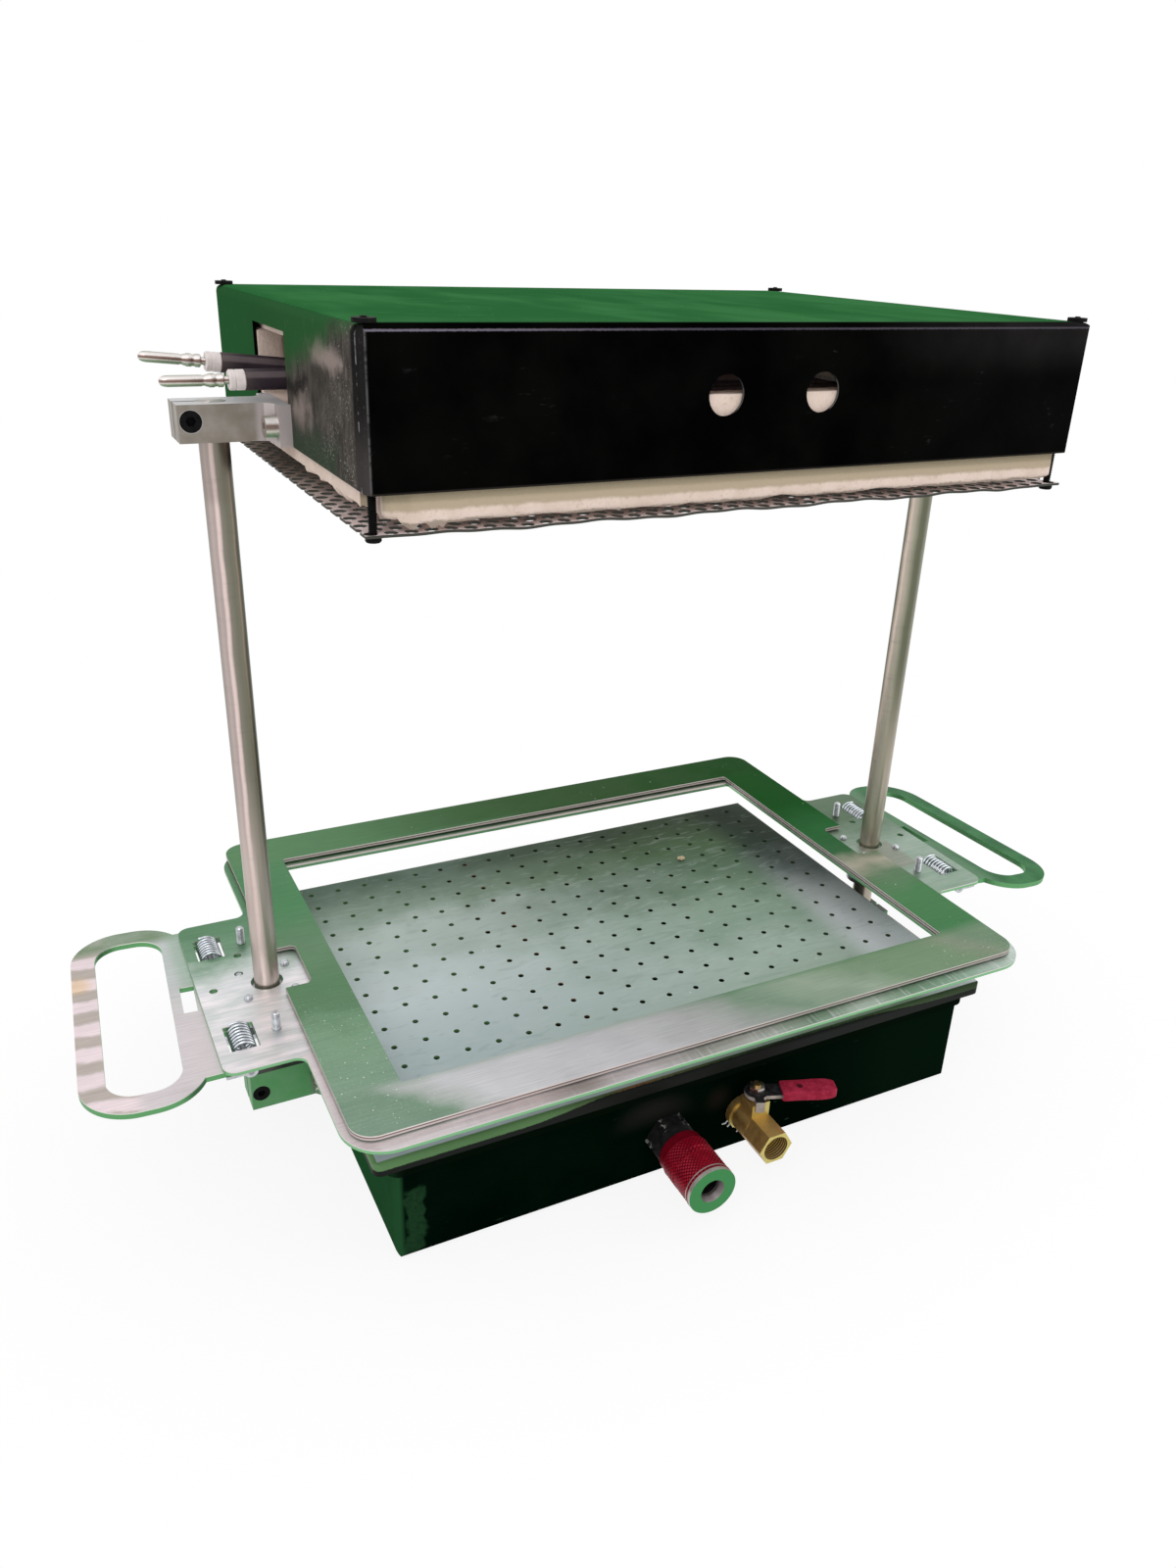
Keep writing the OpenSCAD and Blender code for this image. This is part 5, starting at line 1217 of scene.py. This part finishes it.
@dataclass(frozen=True)
class Thread:
    """Screw thread, drawn as close rings."""

    diameter: float
    pitch: float
    depth_share: float = 0.55

    def rings(self, low: float, high: float, tip: float = 0.4) -> list[tuple[float, float]]:
        """Profile of a threaded end, from its foot to its chamfered tip.

        Args:
            low: Height of its foot in millimetres.
            high: Height of its tip.
            tip: Height of the chamfer at the tip.

        Returns:
            Radius and height of each ring.
        """
        crest = self.diameter / 2
        root = crest - self.depth_share * self.pitch
        count = max(int((high - tip - low) / self.pitch), 1)
        step = (high - tip - low) / count
        profile = [(root, low)]
        for turn in range(count):
            profile.append((crest, low + (turn + 0.4) * step))
            profile.append((crest, low + (turn + 0.6) * step))
            profile.append((root, low + (turn + 1) * step))
        profile.append((root * 0.82, high))
        return profile


def dress(finish: Finish, *nodes: str) -> None:
    """Give CAD nodes their finish through their material slots.

    Args:
        finish: The finish.
        nodes: Names of the nodes.
    """
    for node in nodes:
        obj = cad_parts[node]
        if not obj.material_slots:
            obj.data.materials.append(finish.make())
        for slot in obj.material_slots:
            slot.material = finish.make()


def pair(stem: str) -> tuple[str, str]:
    """Names of the left and the right node of a pair."""
    return f"{stem}_left", f"{stem}_right"


def hand_over(obj: bpy.types.Object, body: str, finish: Finish, stands_for: str = "") -> None:
    """Finish a new piece: its material, its body and the node that it stands for.

    Args:
        obj: The piece.
        body: CAD body that it moves with.
        finish: Its finish.
        stands_for: CAD node that it replaces, if there is one.
    """
    obj.data.materials.clear()
    obj.data.materials.append(finish.make())
    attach(obj, body)
    if stands_for:
        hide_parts(stands_for)
    LOG.info("%s rides on %s", obj.name, body)


# ------------------------------------------------------------------ the machine


@dataclass
class VacuumBase:
    """Tray, platen, rods and the arms that hold them."""

    crumb_at: tuple[float, float, float] = (88.0, 62.0, 63.0)
    crumb_size: tuple[float, float, float] = (4.6, 3.4, 2.2)

    def build(self) -> None:
        """Dress the nodes and add the crumb on the platen."""
        dress(TrayEnamel("tray_enamel"), "vacuum_tray")
        dress(PlatenMetal("platen_metal"), "platen")
        dress(Plain("seal_rubber", (30, 30, 30), (44, 44, 42)), "platen_seal")
        dress(BlastedBlock("post_metal"), "platen_posts")
        # The rods' bands and paler feet are painted reflections of the room and lamps.
        dress(GroundRod("rod_left_steel", centre_x=-ROD_X, first_deg=-189.6, bands=(
            (0.0, (120, 122, 108)), (0.06, (150, 140, 134)), (0.13, (190, 174, 170)),
            (0.175, (176, 162, 158)), (0.20, (234, 210, 206)), (0.222, (222, 202, 196)),
            (0.245, (136, 130, 120)), (0.31, (118, 117, 101)), (0.355, (124, 122, 106)),
            (0.375, (152, 136, 121)), (0.40, (96, 88, 68)), (0.43, (46, 60, 38)),
            (0.52, (80, 88, 66)), (0.70, (168, 164, 154)), (0.85, (190, 182, 174)),
            (1.0, (120, 122, 108)))), "rod_left")
        dress(GroundRod("rod_right_steel", centre_x=ROD_X, first_deg=-222.2, foot=(196, 184, 170), bands=(
            (0.0, (60, 80, 52)), (0.065, (56, 76, 50)), (0.10, (160, 142, 128)),
            (0.15, (224, 208, 195)), (0.195, (196, 184, 170)), (0.235, (166, 162, 145)),
            (0.265, (142, 142, 124)), (0.30, (110, 112, 92)), (0.36, (104, 107, 88)),
            (0.42, (140, 138, 122)), (0.55, (120, 122, 104)), (0.75, (186, 180, 170)),
            (1.0, (60, 80, 52)))), "rod_right")
        dress(BlastedBlock("hood_arm_metal"), *pair("hood_arm"))
        # The base arms' green faces are a painted reflection of the room.
        dress(BlastedBlock("base_arm_metal", top=(104, 110, 102), face=(84, 152, 92), stain=(98, 154, 104),
                           end=(110, 124, 110), screw=(194.1, 27.0)), *pair("base_arm"))
        dress(Plain("black_oxide", (14, 14, 14), (24, 24, 24), rough=0.5, specular=0.05),
              "base_clamp_screws", "hood_clamp_screws")
        dress(PolishedPin("bolt_zinc", waist=(150, 138, 130)), "base_arm_bolts", "hood_arm_bolts")
        self.crumb()

    def crumb(self) -> None:
        """Make the crumb of board that lies on the platen."""
        Bench.let_go()
        bpy.ops.mesh.primitive_ico_sphere_add(subdivisions=3, radius=0.5)
        obj = bpy.context.object
        for vertex in obj.data.vertices:
            swell = 1 + 0.5 * noise.noise(vertex.co * 6)
            vertex.co = Vector(c * s * MM * swell for c, s in zip(vertex.co, self.crumb_size))
        low = min(vertex.co.z for vertex in obj.data.vertices)
        x, y, z = self.crumb_at
        Bench.place(obj, (x, y, z - low / MM - 0.1))
        Bench.settle(obj, "fibre_crumb")
        fibre = Plain("crumb_fibre", (226, 208, 178), (196, 176, 142), grain_size=1.2, rough=0.9,
                      specular=0.1)
        hand_over(obj, "base", fibre)


@dataclass
class HeaterHood:
    """Sheet steel hood with its fibre boards, guard and corner screws."""

    half_w: float = 157.5
    half_d: float = 118.0
    bolt_at: tuple[float, float] = (154.2, 111.5)
    guard_half: tuple[float, float] = (158.0, 115.5)
    guard_z: float = 327.0
    guard_t: float = 1.0
    hole_r: float = 2.5
    pitch: tuple[float, float] = (7.2, 6.235)
    hole_shift: tuple[float, float] = (2.9, -0.6)
    voxel: float = 2.0
    inset: float = 1.45
    board_t: float = 12.0
    bolt_l: float = 71.6
    bolt_head_h: float = 2.1
    bolt: Thread = Thread(3.2, 0.7)
    board: Finish = FibreBoard("fibre_board")
    black: Finish = Plain("black_screw", (13, 13, 13), (26, 25, 24), rough=0.5, specular=0.05)

    def build(self) -> None:
        """Dress the hood's nodes and model its boards, guard and screws."""
        dress(HoodEnamel("hood_enamel"), "hood_shell")
        dress(self.board, "insulation_lid")
        dress(self.black, "guard_nuts")
        self.walls()
        self.guard()
        self.corner_bolts()

    def walls(self) -> None:
        """Model the boards with the worn edges of soft fibre."""
        thick = self.board_t
        face = self.half_d - self.inset
        inner = self.half_w - self.inset - thick
        # front, its torn left end, rear, right, left ahead of the slot, left behind it, sill of the slot
        boards = [Bench.block("board", low, high) for low, high in (
            ((-142.6, -face, 330.3), (150, -face + thick, 370)),
            ((-151.6, -face + 1, 332.6), (-146.0, -face + thick, 370)),
            ((-150, face - thick, 330.3), (150, face, 370)),
            ((inner, -104, 335), (inner + thick, 104, 381)),
            ((-inner - thick, -104, 335), (-inner, -13, 381)),
            ((-inner - thick, 38, 335), (-inner, 104, 381)),
            ((-inner - thick, -14, 335), (-inner, 39, 356)))]
        obj = Bench.joined("board_walls", boards)
        Bench.apply(obj, "REMESH", {"mode": "VOXEL", "voxel_size": self.voxel * MM})
        for vertex in obj.data.vertices:
            place = vertex.co / MM
            rough = noise.noise(place * 0.16) * 0.5 + noise.noise(place * 0.5) * 0.35
            inward = Vector((-0.25 * math.copysign(1, place.x), -0.25 * math.copysign(1, place.y), 0.0))
            wear = max(0.0, noise.noise(place * 0.06 + Vector((3, 1, 2)))) * max(0.0, 336 - place.z) * 0.35
            torn = max(0.0, noise.noise(place * 0.24 + Vector((7, 2, 5)))) * max(0.0, 338 - place.z)
            torn = min(2.6, torn * 1.6) if place.x < -128 and place.y < -30 else 0.0
            vertex.co += (inward * abs(rough) + Vector((0, 0, abs(rough) * 0.6 + wear - torn))) * MM
        Bench.smooth(obj, 60)
        hand_over(obj, "base", self.board, "insulation_walls")

    def guard(self) -> None:
        """Punch the guard: one cell, repeated in rows and trimmed through the holes."""
        Bench.let_go()
        step_x, step_y = self.pitch
        bpy.ops.mesh.primitive_circle_add(vertices=12, radius=self.hole_r * MM)
        obj = bpy.context.object
        with Bench.editing(obj):
            bpy.ops.mesh.extrude_region_move(TRANSFORM_OT_translate={"value": (0, 0, 0)})
            bpy.ops.transform.resize(value=(1.2, 1.2, 1))
        flat = step_x / 2 * MM
        corner = flat / math.cos(math.radians(30))
        for vertex in obj.data.vertices:
            if vertex.co.length > self.hole_r * MM * 1.1:
                angle = math.degrees(math.atan2(vertex.co.y, vertex.co.x))
                nearest = round(angle / 30) * 30
                reach = flat if nearest % 60 == 0 else corner
                turn = math.radians(nearest)
                vertex.co = Vector((math.cos(turn), math.sin(turn), 0)) * reach
        columns = int(2 * self.guard_half[0] / step_x) + 3
        rows = int(self.guard_half[1] / step_y) + 2
        twin = Bench.place(Bench.link("twin", obj.data.copy()), (step_x / 2, step_y, 0))
        obj = Bench.joined("guard_mesh", [obj, twin])
        for axis, count, step in ((0, columns, step_x), (1, rows, 2 * step_y)):
            offset = [0.0, 0.0, 0.0]
            offset[axis] = step * MM
            Bench.apply(obj, "ARRAY", {"count": count, "use_relative_offset": False,
                                       "use_constant_offset": True, "constant_offset_displace": offset,
                                       "use_merge_vertices": True, "merge_threshold": 0.00002})
        Bench.place(obj, (-(columns - 1) / 2 * step_x + self.hole_shift[0],
                          -(rows - 1) * step_y + self.hole_shift[1], self.guard_z + self.guard_t))
        half_x, half_y = self.guard_half
        with Bench.editing(obj):
            for side in SIDES:
                for out in (Vector((side * half_x, 0, 0)), Vector((0, side * half_y, 0))):
                    bpy.ops.mesh.select_all(action="SELECT")
                    bpy.ops.mesh.bisect(plane_co=out * MM, plane_no=out.normalized(), clear_outer=True)
            bpy.ops.mesh.select_all(action="SELECT")
            bpy.ops.mesh.normals_make_consistent(inside=False)
        if obj.data.polygons[0].normal.z < 0:
            obj.data.flip_normals()
        Bench.apply(obj, "SOLIDIFY", {"thickness": self.guard_t * MM, "offset": -1.0})
        for vertex in obj.data.vertices:
            x, y = vertex.co.x / MM, vertex.co.y / MM
            loose = min(1.0, max(0.0, (152 - abs(x)) / 30))
            sag = 0.35 + 0.35 * math.sin(x * 0.11) + 0.2 * math.sin(x * 0.31 + 1)
            vertex.co.z -= sag * loose * (0.5 + 0.5 * min(1.0, abs(y) / 110)) * MM
        hand_over(obj, "base", PunchedSheet("guard_metal"), "mesh_guard")

    def corner_bolts(self) -> None:
        """Model the four long screws with their threads and sockets."""
        head = self.bolt_head_h
        profile = [(1.2, 1.1), (1.55, 0.25), (2.45, 0.0), (2.85, 0.5), (2.85, head), (1.45, head)]
        profile += self.bolt.rings(2.4, self.bolt_l)
        obj = Bench.smooth(Bench.turned("screw", profile, 16), 30)
        x, y = self.bolt_at
        places = [((sx * x, sy * y, self.guard_z - head), None) for sx, sy in CORNERS]
        hand_over(Bench.copies(obj, "corner_screws", places), "base", self.black,
                  "guard_bolts")


@dataclass
class HeatingElement:
    """Tubular heater with its beads, terminals, rails and clips."""

    run_y: tuple[float, float] = (-8.0, 25.0)
    centre_z: float = 366.0
    pivot_x: float = -140.0
    bend_r: float = 30.0
    tilt: tuple[float, float] = (0.0, 5.2)
    sheath_l: float = 32.0

    def build(self) -> None:
        """Dress the heater and model its beads and terminals."""
        dress(HeaterSheath("heater_sheath"), "heating_element")
        dress(Plated("rail_zinc", (176, 174, 168), (120, 116, 108), rough=0.4), "element_rails",
              "element_clips")
        profile = [(1.6, 0), (3.5, 0), (3.9, 0.4), (3.9, 3.4), (3.6, 3.6), (3.6, 3.9), (3.9, 4.1), (3.9, 5.9),
                   (3.5, 6.3), (1.6, 6.3)]
        bead = Bench.smooth(Bench.turned("bead", profile, 32, closed=True))
        ceramic = Plain("bead_ceramic", (240, 228, 226), (222, 212, 208), rough=0.35, specular=0.5)
        hand_over(Bench.copies(bead, "white_beads", self.places()), "base", ceramic,
                  "ceramic_beads")
        profile = [(1.5, 0.2), (1.5, 8), (2.1, 8), (2.6, 8.4), (2.6, 10), (2.3, 10.4), (2.3, 11.4),
                   (2.6, 11.8), (2.6, 13.6), (2.3, 14), (2.3, 14.6), (2.0, 15.0), (1.9, 16.0), (2.15, 16.5),
                   (2.15, 28.8), (2.0, 30.2), (1.6, 31.3), (0.8, 31.9)]
        pin = Bench.smooth(Bench.turned("pin", profile, 24), 50)
        hand_over(Bench.copies(pin, "bullet_pins", self.places()), "base",
                  PolishedPin("terminal_nickel"), "bullet_terminals")

    def places(self) -> list[tuple[Sequence[float], Matrix]]:
        """Move and turn of what sits on each of the two ends.

        Returns:
            A move in millimetres and a turn for each end.
        """
        result = []
        for y, tilt in zip(self.run_y, self.tilt):
            lift = math.radians(tilt)
            along = Vector((-math.cos(lift), 0, math.sin(lift)))
            foot = Vector((self.pivot_x - self.bend_r * math.sin(lift), y,
                           self.centre_z + self.bend_r * (1 - math.cos(lift))))
            turn = Matrix.Rotation(lift, 3, "Y") @ Matrix.Rotation(math.radians(-90), 3, "Y")
            result.append((tuple(foot + along * self.sheath_l), turn))
        return result


@dataclass
class ClampCarriage:
    """Lower frame, clamp ring, bushes and the spring hinges."""

    hinge_x: float = 205.0
    hinge_y: float = 39.5
    spring_d: float = 11.0
    wire_d: float = 1.2
    curls: float = 7.5
    spring_l: float = 18.2
    spring_z: float = 82.75
    long_leg: float = 9.0
    leg_tilt: float = 6.0
    short_leg: float = 3.0
    stud_x: float = 188.9
    pattern: float = 11.3
    steps: int = 28
    stud: Thread = Thread(4.0, 0.7)
    zinc: Finish = Plated("screw_zinc")

    def build(self) -> None:
        """Dress the carriage and model its springs, studs and screws."""
        # The frame's and the ring's edge colours are painted highlights and reflections, and the ring's
        # groove is a painted shadow.
        dress(FrameSheet("frame_metal", edge=(222, 214, 214), under_edge=(132, 188, 138), edge_z=0.0855),
              "lower_frame")
        dress(RingSheet("ring_metal", edge=(232, 222, 220), under_edge=(206, 194, 190), edge_z=0.0885,
                        groove=0.85, dust=0.7), "upper_ring")
        dress(Plain("gasket_rubber", (24, 24, 24), (40, 40, 38)), "clamp_gasket")
        dress(Plated("bush_steel", (170, 170, 172), (120, 120, 122)), *pair("rod_bush"), "fixed_leaves",
              "hinge_pins")
        self.springs()
        self.studs()
        self.screws()

    def springs(self) -> None:
        """Wind the four hinge springs, each with a long leg outboard below and a short one above."""
        radius = (self.spring_d - self.wire_d) / 2
        count = int(self.curls * self.steps)
        half = (self.spring_l - self.wire_d) / 2
        tilt = math.radians(self.leg_tilt)
        start = math.radians(-90) - tilt

        def at(step: float) -> Vector:
            """Point of the coil after some steps."""
            angle = start - step * 2 * math.pi / self.steps
            run = -half + 2 * half * step / count
            return Vector((radius * math.cos(angle), run, radius * math.sin(angle)))

        first, last = at(0), at(count)
        ends = start - count * 2 * math.pi / self.steps
        out = Vector((math.sin(ends), 0, -math.cos(ends)))
        leg = Vector((math.cos(tilt), 0, -math.sin(tilt))) * self.long_leg
        path = [first + leg] + [at(i) for i in range(count + 1)]
        path.append(last + out * self.short_leg)
        coil = Bench.smooth(Bench.wire("coil", [p * MM for p in path], self.wire_d / 2), 60)
        mirror = Matrix.Scale(-1, 3, Vector((1, 0, 0)))
        places = [((sx * self.hinge_x, sy * self.hinge_y, self.spring_z), mirror if sx < 0 else None)
                  for sx, sy in CORNERS]
        obj = Bench.copies(coil, "coil_springs", places)
        with Bench.editing(obj):
            bpy.ops.mesh.normals_make_consistent(inside=False)
        steel = Plated("spring_zinc", (224, 230, 236), (150, 156, 164), rough=0.2)
        hand_over(obj, "carriage", steel, "hinge_springs")

    def studs(self) -> None:
        """Cut the four tall studs with their threads."""
        profile = [(2.0, 79.4), (2.9, 79.0), (3.5, 79.5), (3.5, 81.8), (2.0, 81.9), (2.0, 85.6)]
        profile += self.stud.rings(85.9, 94.5)
        obj = Bench.smooth(Bench.turned("stud", profile, 16), 30)
        places = [((sx * self.stud_x, sy * self.hinge_y, 0), None) for sx, sy in CORNERS]
        hand_over(Bench.copies(obj, "threaded_studs", places), "carriage", self.zinc, "hinge_studs")

    def screws(self) -> None:
        """Cut the bush screws, whose ends stand out of the ears except one on each side."""
        made = []
        for high, group in ((87.2, "tall"), (85.2, "flush")):
            profile = [(1.4, 76.6), (2.6, 75.9), (3.3, 76.6), (3.3, 78.4), (2.0, 78.5), (2.0, 82.0)]
            profile += self.stud.rings(82.3, high)
            obj = Bench.smooth(Bench.turned(group, profile, 16), 30)
            places = [((side * (ROD_X + out * self.pattern), sy * self.pattern, 0), None)
                      for side in SIDES for out, sy in CORNERS
                      if (out > 0 and sy > 0) == (group == "flush")]
            made.append(Bench.copies(obj, f"bush_screws_{group}", places))
        hand_over(Bench.joined("bush_screw_ends", made), "carriage", self.zinc, "bush_screws")


@dataclass
class Handles:
    """Looped handles with their leaves and brake yokes."""

    def build(self) -> None:
        """Dress both handles."""
        # The green edge colours of the handles are painted reflections of the room.
        under, low = (104, 164, 110), 0.0834
        dress(HandleSheet("handle_left_metal", edge=(224, 226, 216), under_edge=under, edge_z=low),
              "handle_left")
        dress(HandleSheet("handle_right_metal", grain=Grain.ALONG_Y, edge=(118, 164, 126), under_edge=under,
                          edge_z=low, dust=0.2, left=False), "handle_right")
        dress(Plated("leaf_zinc"), *pair("leaves"), *pair("leaf_rivets"), *pair("brake_yoke"))
        dress(Plain("yoke_screw_black", (18, 18, 18), (30, 30, 30), rough=0.4), *pair("yoke_screws"))


@dataclass
class HoseCoupler:
    """Quick coupler with its knurled sleeve."""

    outer_r: float = 12.35
    rear_r: float = 11.7
    knurl_depth: float = 0.28
    sides: int = 144

    def build(self) -> None:
        """Dress the coupler's body and cut the sleeve."""
        dress(CouplerSteel("coupler_steel"), "coupler_body")
        dress(Plated("inner_zinc"), "coupler_spring")
        dress(CastBrass("nut_brass"), "bulkhead_nuts")
        outer, rear = self.outer_r, self.rear_r
        smooth_rear = [(10.6, 12.4), (rear - 0.4, 12.4), (rear, 12.8), (rear, 17.2), (outer - 0.3, 17.6),
                       (outer, 18)]
        first = [(outer, 18 + 0.35 * i) for i in range(1, 18)]
        ridge = [(outer, 24.2), (outer - 0.5, 24.5), (outer - 0.5, 25.0), (outer, 25.3), (outer, 26.3),
                 (outer - 0.6, 26.6), (outer - 0.6, 27.2), (outer, 27.5)]
        second = [(outer, 27.5 + 0.35 * i) for i in range(1, 31)]
        front = [(outer, 38.6), (outer + 0.12, 38.9), (outer + 0.12, 39.9), (outer + 0.02, 39.9),
                 (outer + 0.02, 37.9), (8.58, 37.8), (8.58, 32.8), (10.6, 32.8)]
        sleeve = Bench.turned("sleeve", smooth_rear + first + ridge + second + front, self.sides, closed=True)
        for vertex in sleeve.data.vertices:
            radius = math.hypot(vertex.co.x, vertex.co.y)
            height = vertex.co.z / MM
            if radius > (outer - 0.02) * MM and (18.2 < height < 24.1 or 27.6 < height < 38.3):
                turn = math.atan2(vertex.co.y, vertex.co.x)
                wave, slope = turn * KNURL_TURNS, height * KNURL_SLOPE
                ridge_h = min(abs(math.sin(wave + slope)), abs(math.sin(wave - slope))) ** 0.7
                share = 1 - self.knurl_depth * (1 - ridge_h) / outer
                vertex.co.x *= share
                vertex.co.y *= share
        Bench.smooth(sleeve, 30)
        x, z = COUPLER_AXIS
        Bench.place(sleeve, (x, TRAY_FRONT_Y, z), TO_FRONT)
        Bench.settle(sleeve, "knurled_sleeve")
        hand_over(sleeve, "sleeve", RedAnodised("red_anodised"), "coupler_sleeve")


@dataclass
class ReleaseValve:
    """Ball valve with its dipped lever."""

    stem_y: float = -128.0
    turn_deg: float = -20.0
    grip_low: tuple[float, float, float] = (12.0, -4.9, 16.1)
    grip_high: tuple[float, float, float] = (39.6, 4.9, 21.6)
    shred_r: float = 8.2

    def build(self) -> None:
        """Dress the valve and model the grip of its lever."""
        dress(CastBrass("valve_brass"), "valve_body")
        dress(Plain("seat_white", (236, 236, 232), (220, 220, 216)), "valve_seats")
        dress(Plated("ball_chrome", rough=0.1), "valve_ball")
        dress(Plated("stem_brass", (190, 160, 110), (140, 112, 70)), "valve_stem")
        dress(LeverSteel("lever_black"), "valve_lever")
        dress(Plated("nut_chrome", (214, 206, 198), (120, 100, 84), rough=0.2), "valve_nut")
        self.grip()
        self.tape()

    def grip(self) -> None:
        """Model the vinyl grip: a soft sleeve with a flared, rounded end."""
        obj = Bench.block("grip", self.grip_low, self.grip_high)
        with Bench.editing(obj):
            bpy.ops.mesh.subdivide(number_cuts=7)
        start, end = self.grip_low[0], self.grip_high[0]
        middle = (self.grip_low[2] + self.grip_high[2]) / 2
        for vertex in obj.data.vertices:
            along = (vertex.co.x / MM - start) / (end - start)
            flare = 1 + 0.05 * math.sin(along * math.pi) - 0.22 * max(0.0, along - 0.9) / 0.1
            vertex.co.y *= flare * (0.96 + 0.04 * math.cos(along * 9))
            taper = 1 - 0.12 * max(0.0, along - 0.8) / 0.2
            vertex.co.z = (middle + 0.05 + (vertex.co.z / MM - middle) * taper) * MM
        Bench.apply(obj, "SUBSURF", {"levels": 1, "render_levels": 1})
        Bench.smooth(obj, 180)
        x, z = VALVE_AXIS
        Bench.place(obj, (x, self.stem_y, z), Matrix.Rotation(math.radians(self.turn_deg), 3, "Z"))
        Bench.settle(obj, "vinyl_grip")
        hand_over(obj, "valve_handle", VinylGrip("vinyl_dip"), "lever_grip")

    def tape(self) -> None:
        """Add the shreds of thread tape between the valve and the tray."""
        draw = random.Random(7)
        shreds = []
        x, z = VALVE_AXIS
        for angle, length in ((205, 4.0), (222, 2.6), (262, 5.0), (275, 2.2), (240, 1.8)):
            turn = math.radians(angle)
            out = Vector((math.cos(turn), 0, math.sin(turn)))
            foot = Vector((x, TRAY_FRONT_Y - 1, z)) + out * self.shred_r
            points = []
            for step in range(6):
                drift = Vector((draw.uniform(-0.3, 0.3), draw.uniform(-0.5, 0.1), draw.uniform(-0.3, 0.3)))
                points.append((foot + out * (length * step / 5) + drift) * MM)
            shreds.append(Bench.wire("shred", points, 0.35))
        tape = Plain("tape_white", (222, 230, 228), (196, 206, 204))
        hand_over(Bench.joined("tape_shreds", shreds), "base", tape)


# ------------------------------------------------------------------- the studio


@dataclass
class Studio:
    """Camera at the photograph's place, a pale floor and soft light."""

    camera_at: tuple[float, float, float] = (-268.89, -499.58, 423.23)
    look_at: tuple[float, float, float] = (-12.06, 0.0, 160.81)
    roll: float = 0.0356
    focal_px: float = 1211.9
    image_h: float = 1600.0
    sensor: float = 36.0

    def build(self) -> None:
        """Set up the camera, the floor, the lamps and the world."""
        self.camera()
        self.floor()
        self.lamp("key_lamp", (-700, -900, 1300), 6.0, 900)
        self.lamp("fill_lamp", (1100, -500, 900), 3.0, 900)
        self.world()
        bpy.context.scene.view_settings.view_transform = "Standard"

    def camera(self) -> None:
        """Place the camera by its position, aim and roll."""
        data = bpy.data.cameras.new("camera")
        data.sensor_fit = "VERTICAL"
        data.sensor_height = self.sensor
        data.lens = self.focal_px / self.image_h * self.sensor
        data.clip_start = 0.01
        obj = Bench.link("camera", data)
        place = Vector(self.camera_at) * MM
        ahead = (Vector(self.look_at) * MM - place).normalized()
        right = ahead.cross(Vector((0, 0, 1))).normalized()
        up = right.cross(ahead)
        rolled_right = right * math.cos(self.roll) + up * math.sin(self.roll)
        rolled_up = up * math.cos(self.roll) - right * math.sin(self.roll)
        turn = Matrix((rolled_right, rolled_up, -ahead)).transposed()
        obj.matrix_world = Matrix.Translation(place) @ turn.to_4x4()
        bpy.context.scene.camera = obj

    @staticmethod
    def lamp(name: str, place: Sequence[float], power: float, size: float) -> None:
        """Hang a soft lamp that points at the machine.

        Args:
            name: Name of the lamp.
            place: Where it hangs, in millimetres.
            power: Its power in watts.
            size: Side of its square in millimetres.
        """
        data = bpy.data.lights.new(name, "AREA")
        data.energy = power
        data.size = size * MM
        obj = Bench.link(name, data)
        obj.location = Vector(place) * MM
        aim = Vector((0, 0, 0.18)) - obj.location
        obj.rotation_euler = aim.to_track_quat("-Z", "Y").to_euler()

    @staticmethod
    def white_for_camera(graph: Graph, share: Number) -> Value:
        """Share of plain white that camera, glossy and transmission rays get."""
        rays = graph.add("ShaderNodeLightPath", {}, {})
        seen, glossy, through = (Value(graph, rays.outputs[f"Is {kind} Ray"])
                                 for kind in ("Camera", "Glossy", "Transmission"))
        return seen.most(glossy).most(through) * share

    def floor(self) -> None:
        """Lay the pale floor, which keeps a faint shadow."""
        Bench.let_go()
        bpy.ops.mesh.primitive_plane_add(size=12, location=(0, 0, 0))
        obj = bpy.context.object
        obj.name = "floor"
        graph = Graph("floor_white")
        dull = graph.add("ShaderNodeBsdfDiffuse", {}, {"Color": (0.9, 0.9, 0.9, 1.0)})
        white = graph.add("ShaderNodeEmission", {}, {"Color": (1.0, 1.0, 1.0, 1.0), "Strength": 1.0})
        away = ((graph.x / 1.5) ** 2.0 + graph.y ** 2.0) ** 0.5
        share = 0.88 + away.rise(0.14, 0.27) * 0.12
        blend = graph.add("ShaderNodeMixShader", {}, {0: self.white_for_camera(graph, share),
                                                      1: dull.outputs[0], 2: white.outputs[0]})
        graph.add("ShaderNodeOutputMaterial", {}, {"Surface": blend.outputs[0]})
        obj.data.materials.append(graph.material)

    @staticmethod
    def world() -> None:
        """Light the world evenly, and show it white to the camera and in reflections."""
        world = bpy.data.worlds.new("studio")
        bpy.context.scene.world = world
        graph = Graph("studio", world)
        light = graph.add("ShaderNodeBackground", {}, {"Color": (1.0, 1.0, 1.0, 1.0), "Strength": 0.75})
        white = graph.add("ShaderNodeBackground", {}, {"Color": (1.0, 1.0, 1.0, 1.0), "Strength": 1.0})
        blend = graph.add("ShaderNodeMixShader", {}, {0: Studio.white_for_camera(graph, 1.0),
                                                      1: light.outputs[0], 2: white.outputs[0]})
        graph.add("ShaderNodeOutputWorld", {}, {"Surface": blend.outputs[0]})


def main() -> None:
    logging.basicConfig(level=logging.INFO)
    for part in (Studio(), VacuumBase(), HeaterHood(), HeatingElement(), ClampCarriage(), Handles(),
                 HoseCoupler(), ReleaseValve()):
        LOG.info("building %s", type(part).__name__)
        part.build()
    bpy.context.view_layer.update()


if __name__ == "__main__":
    main()
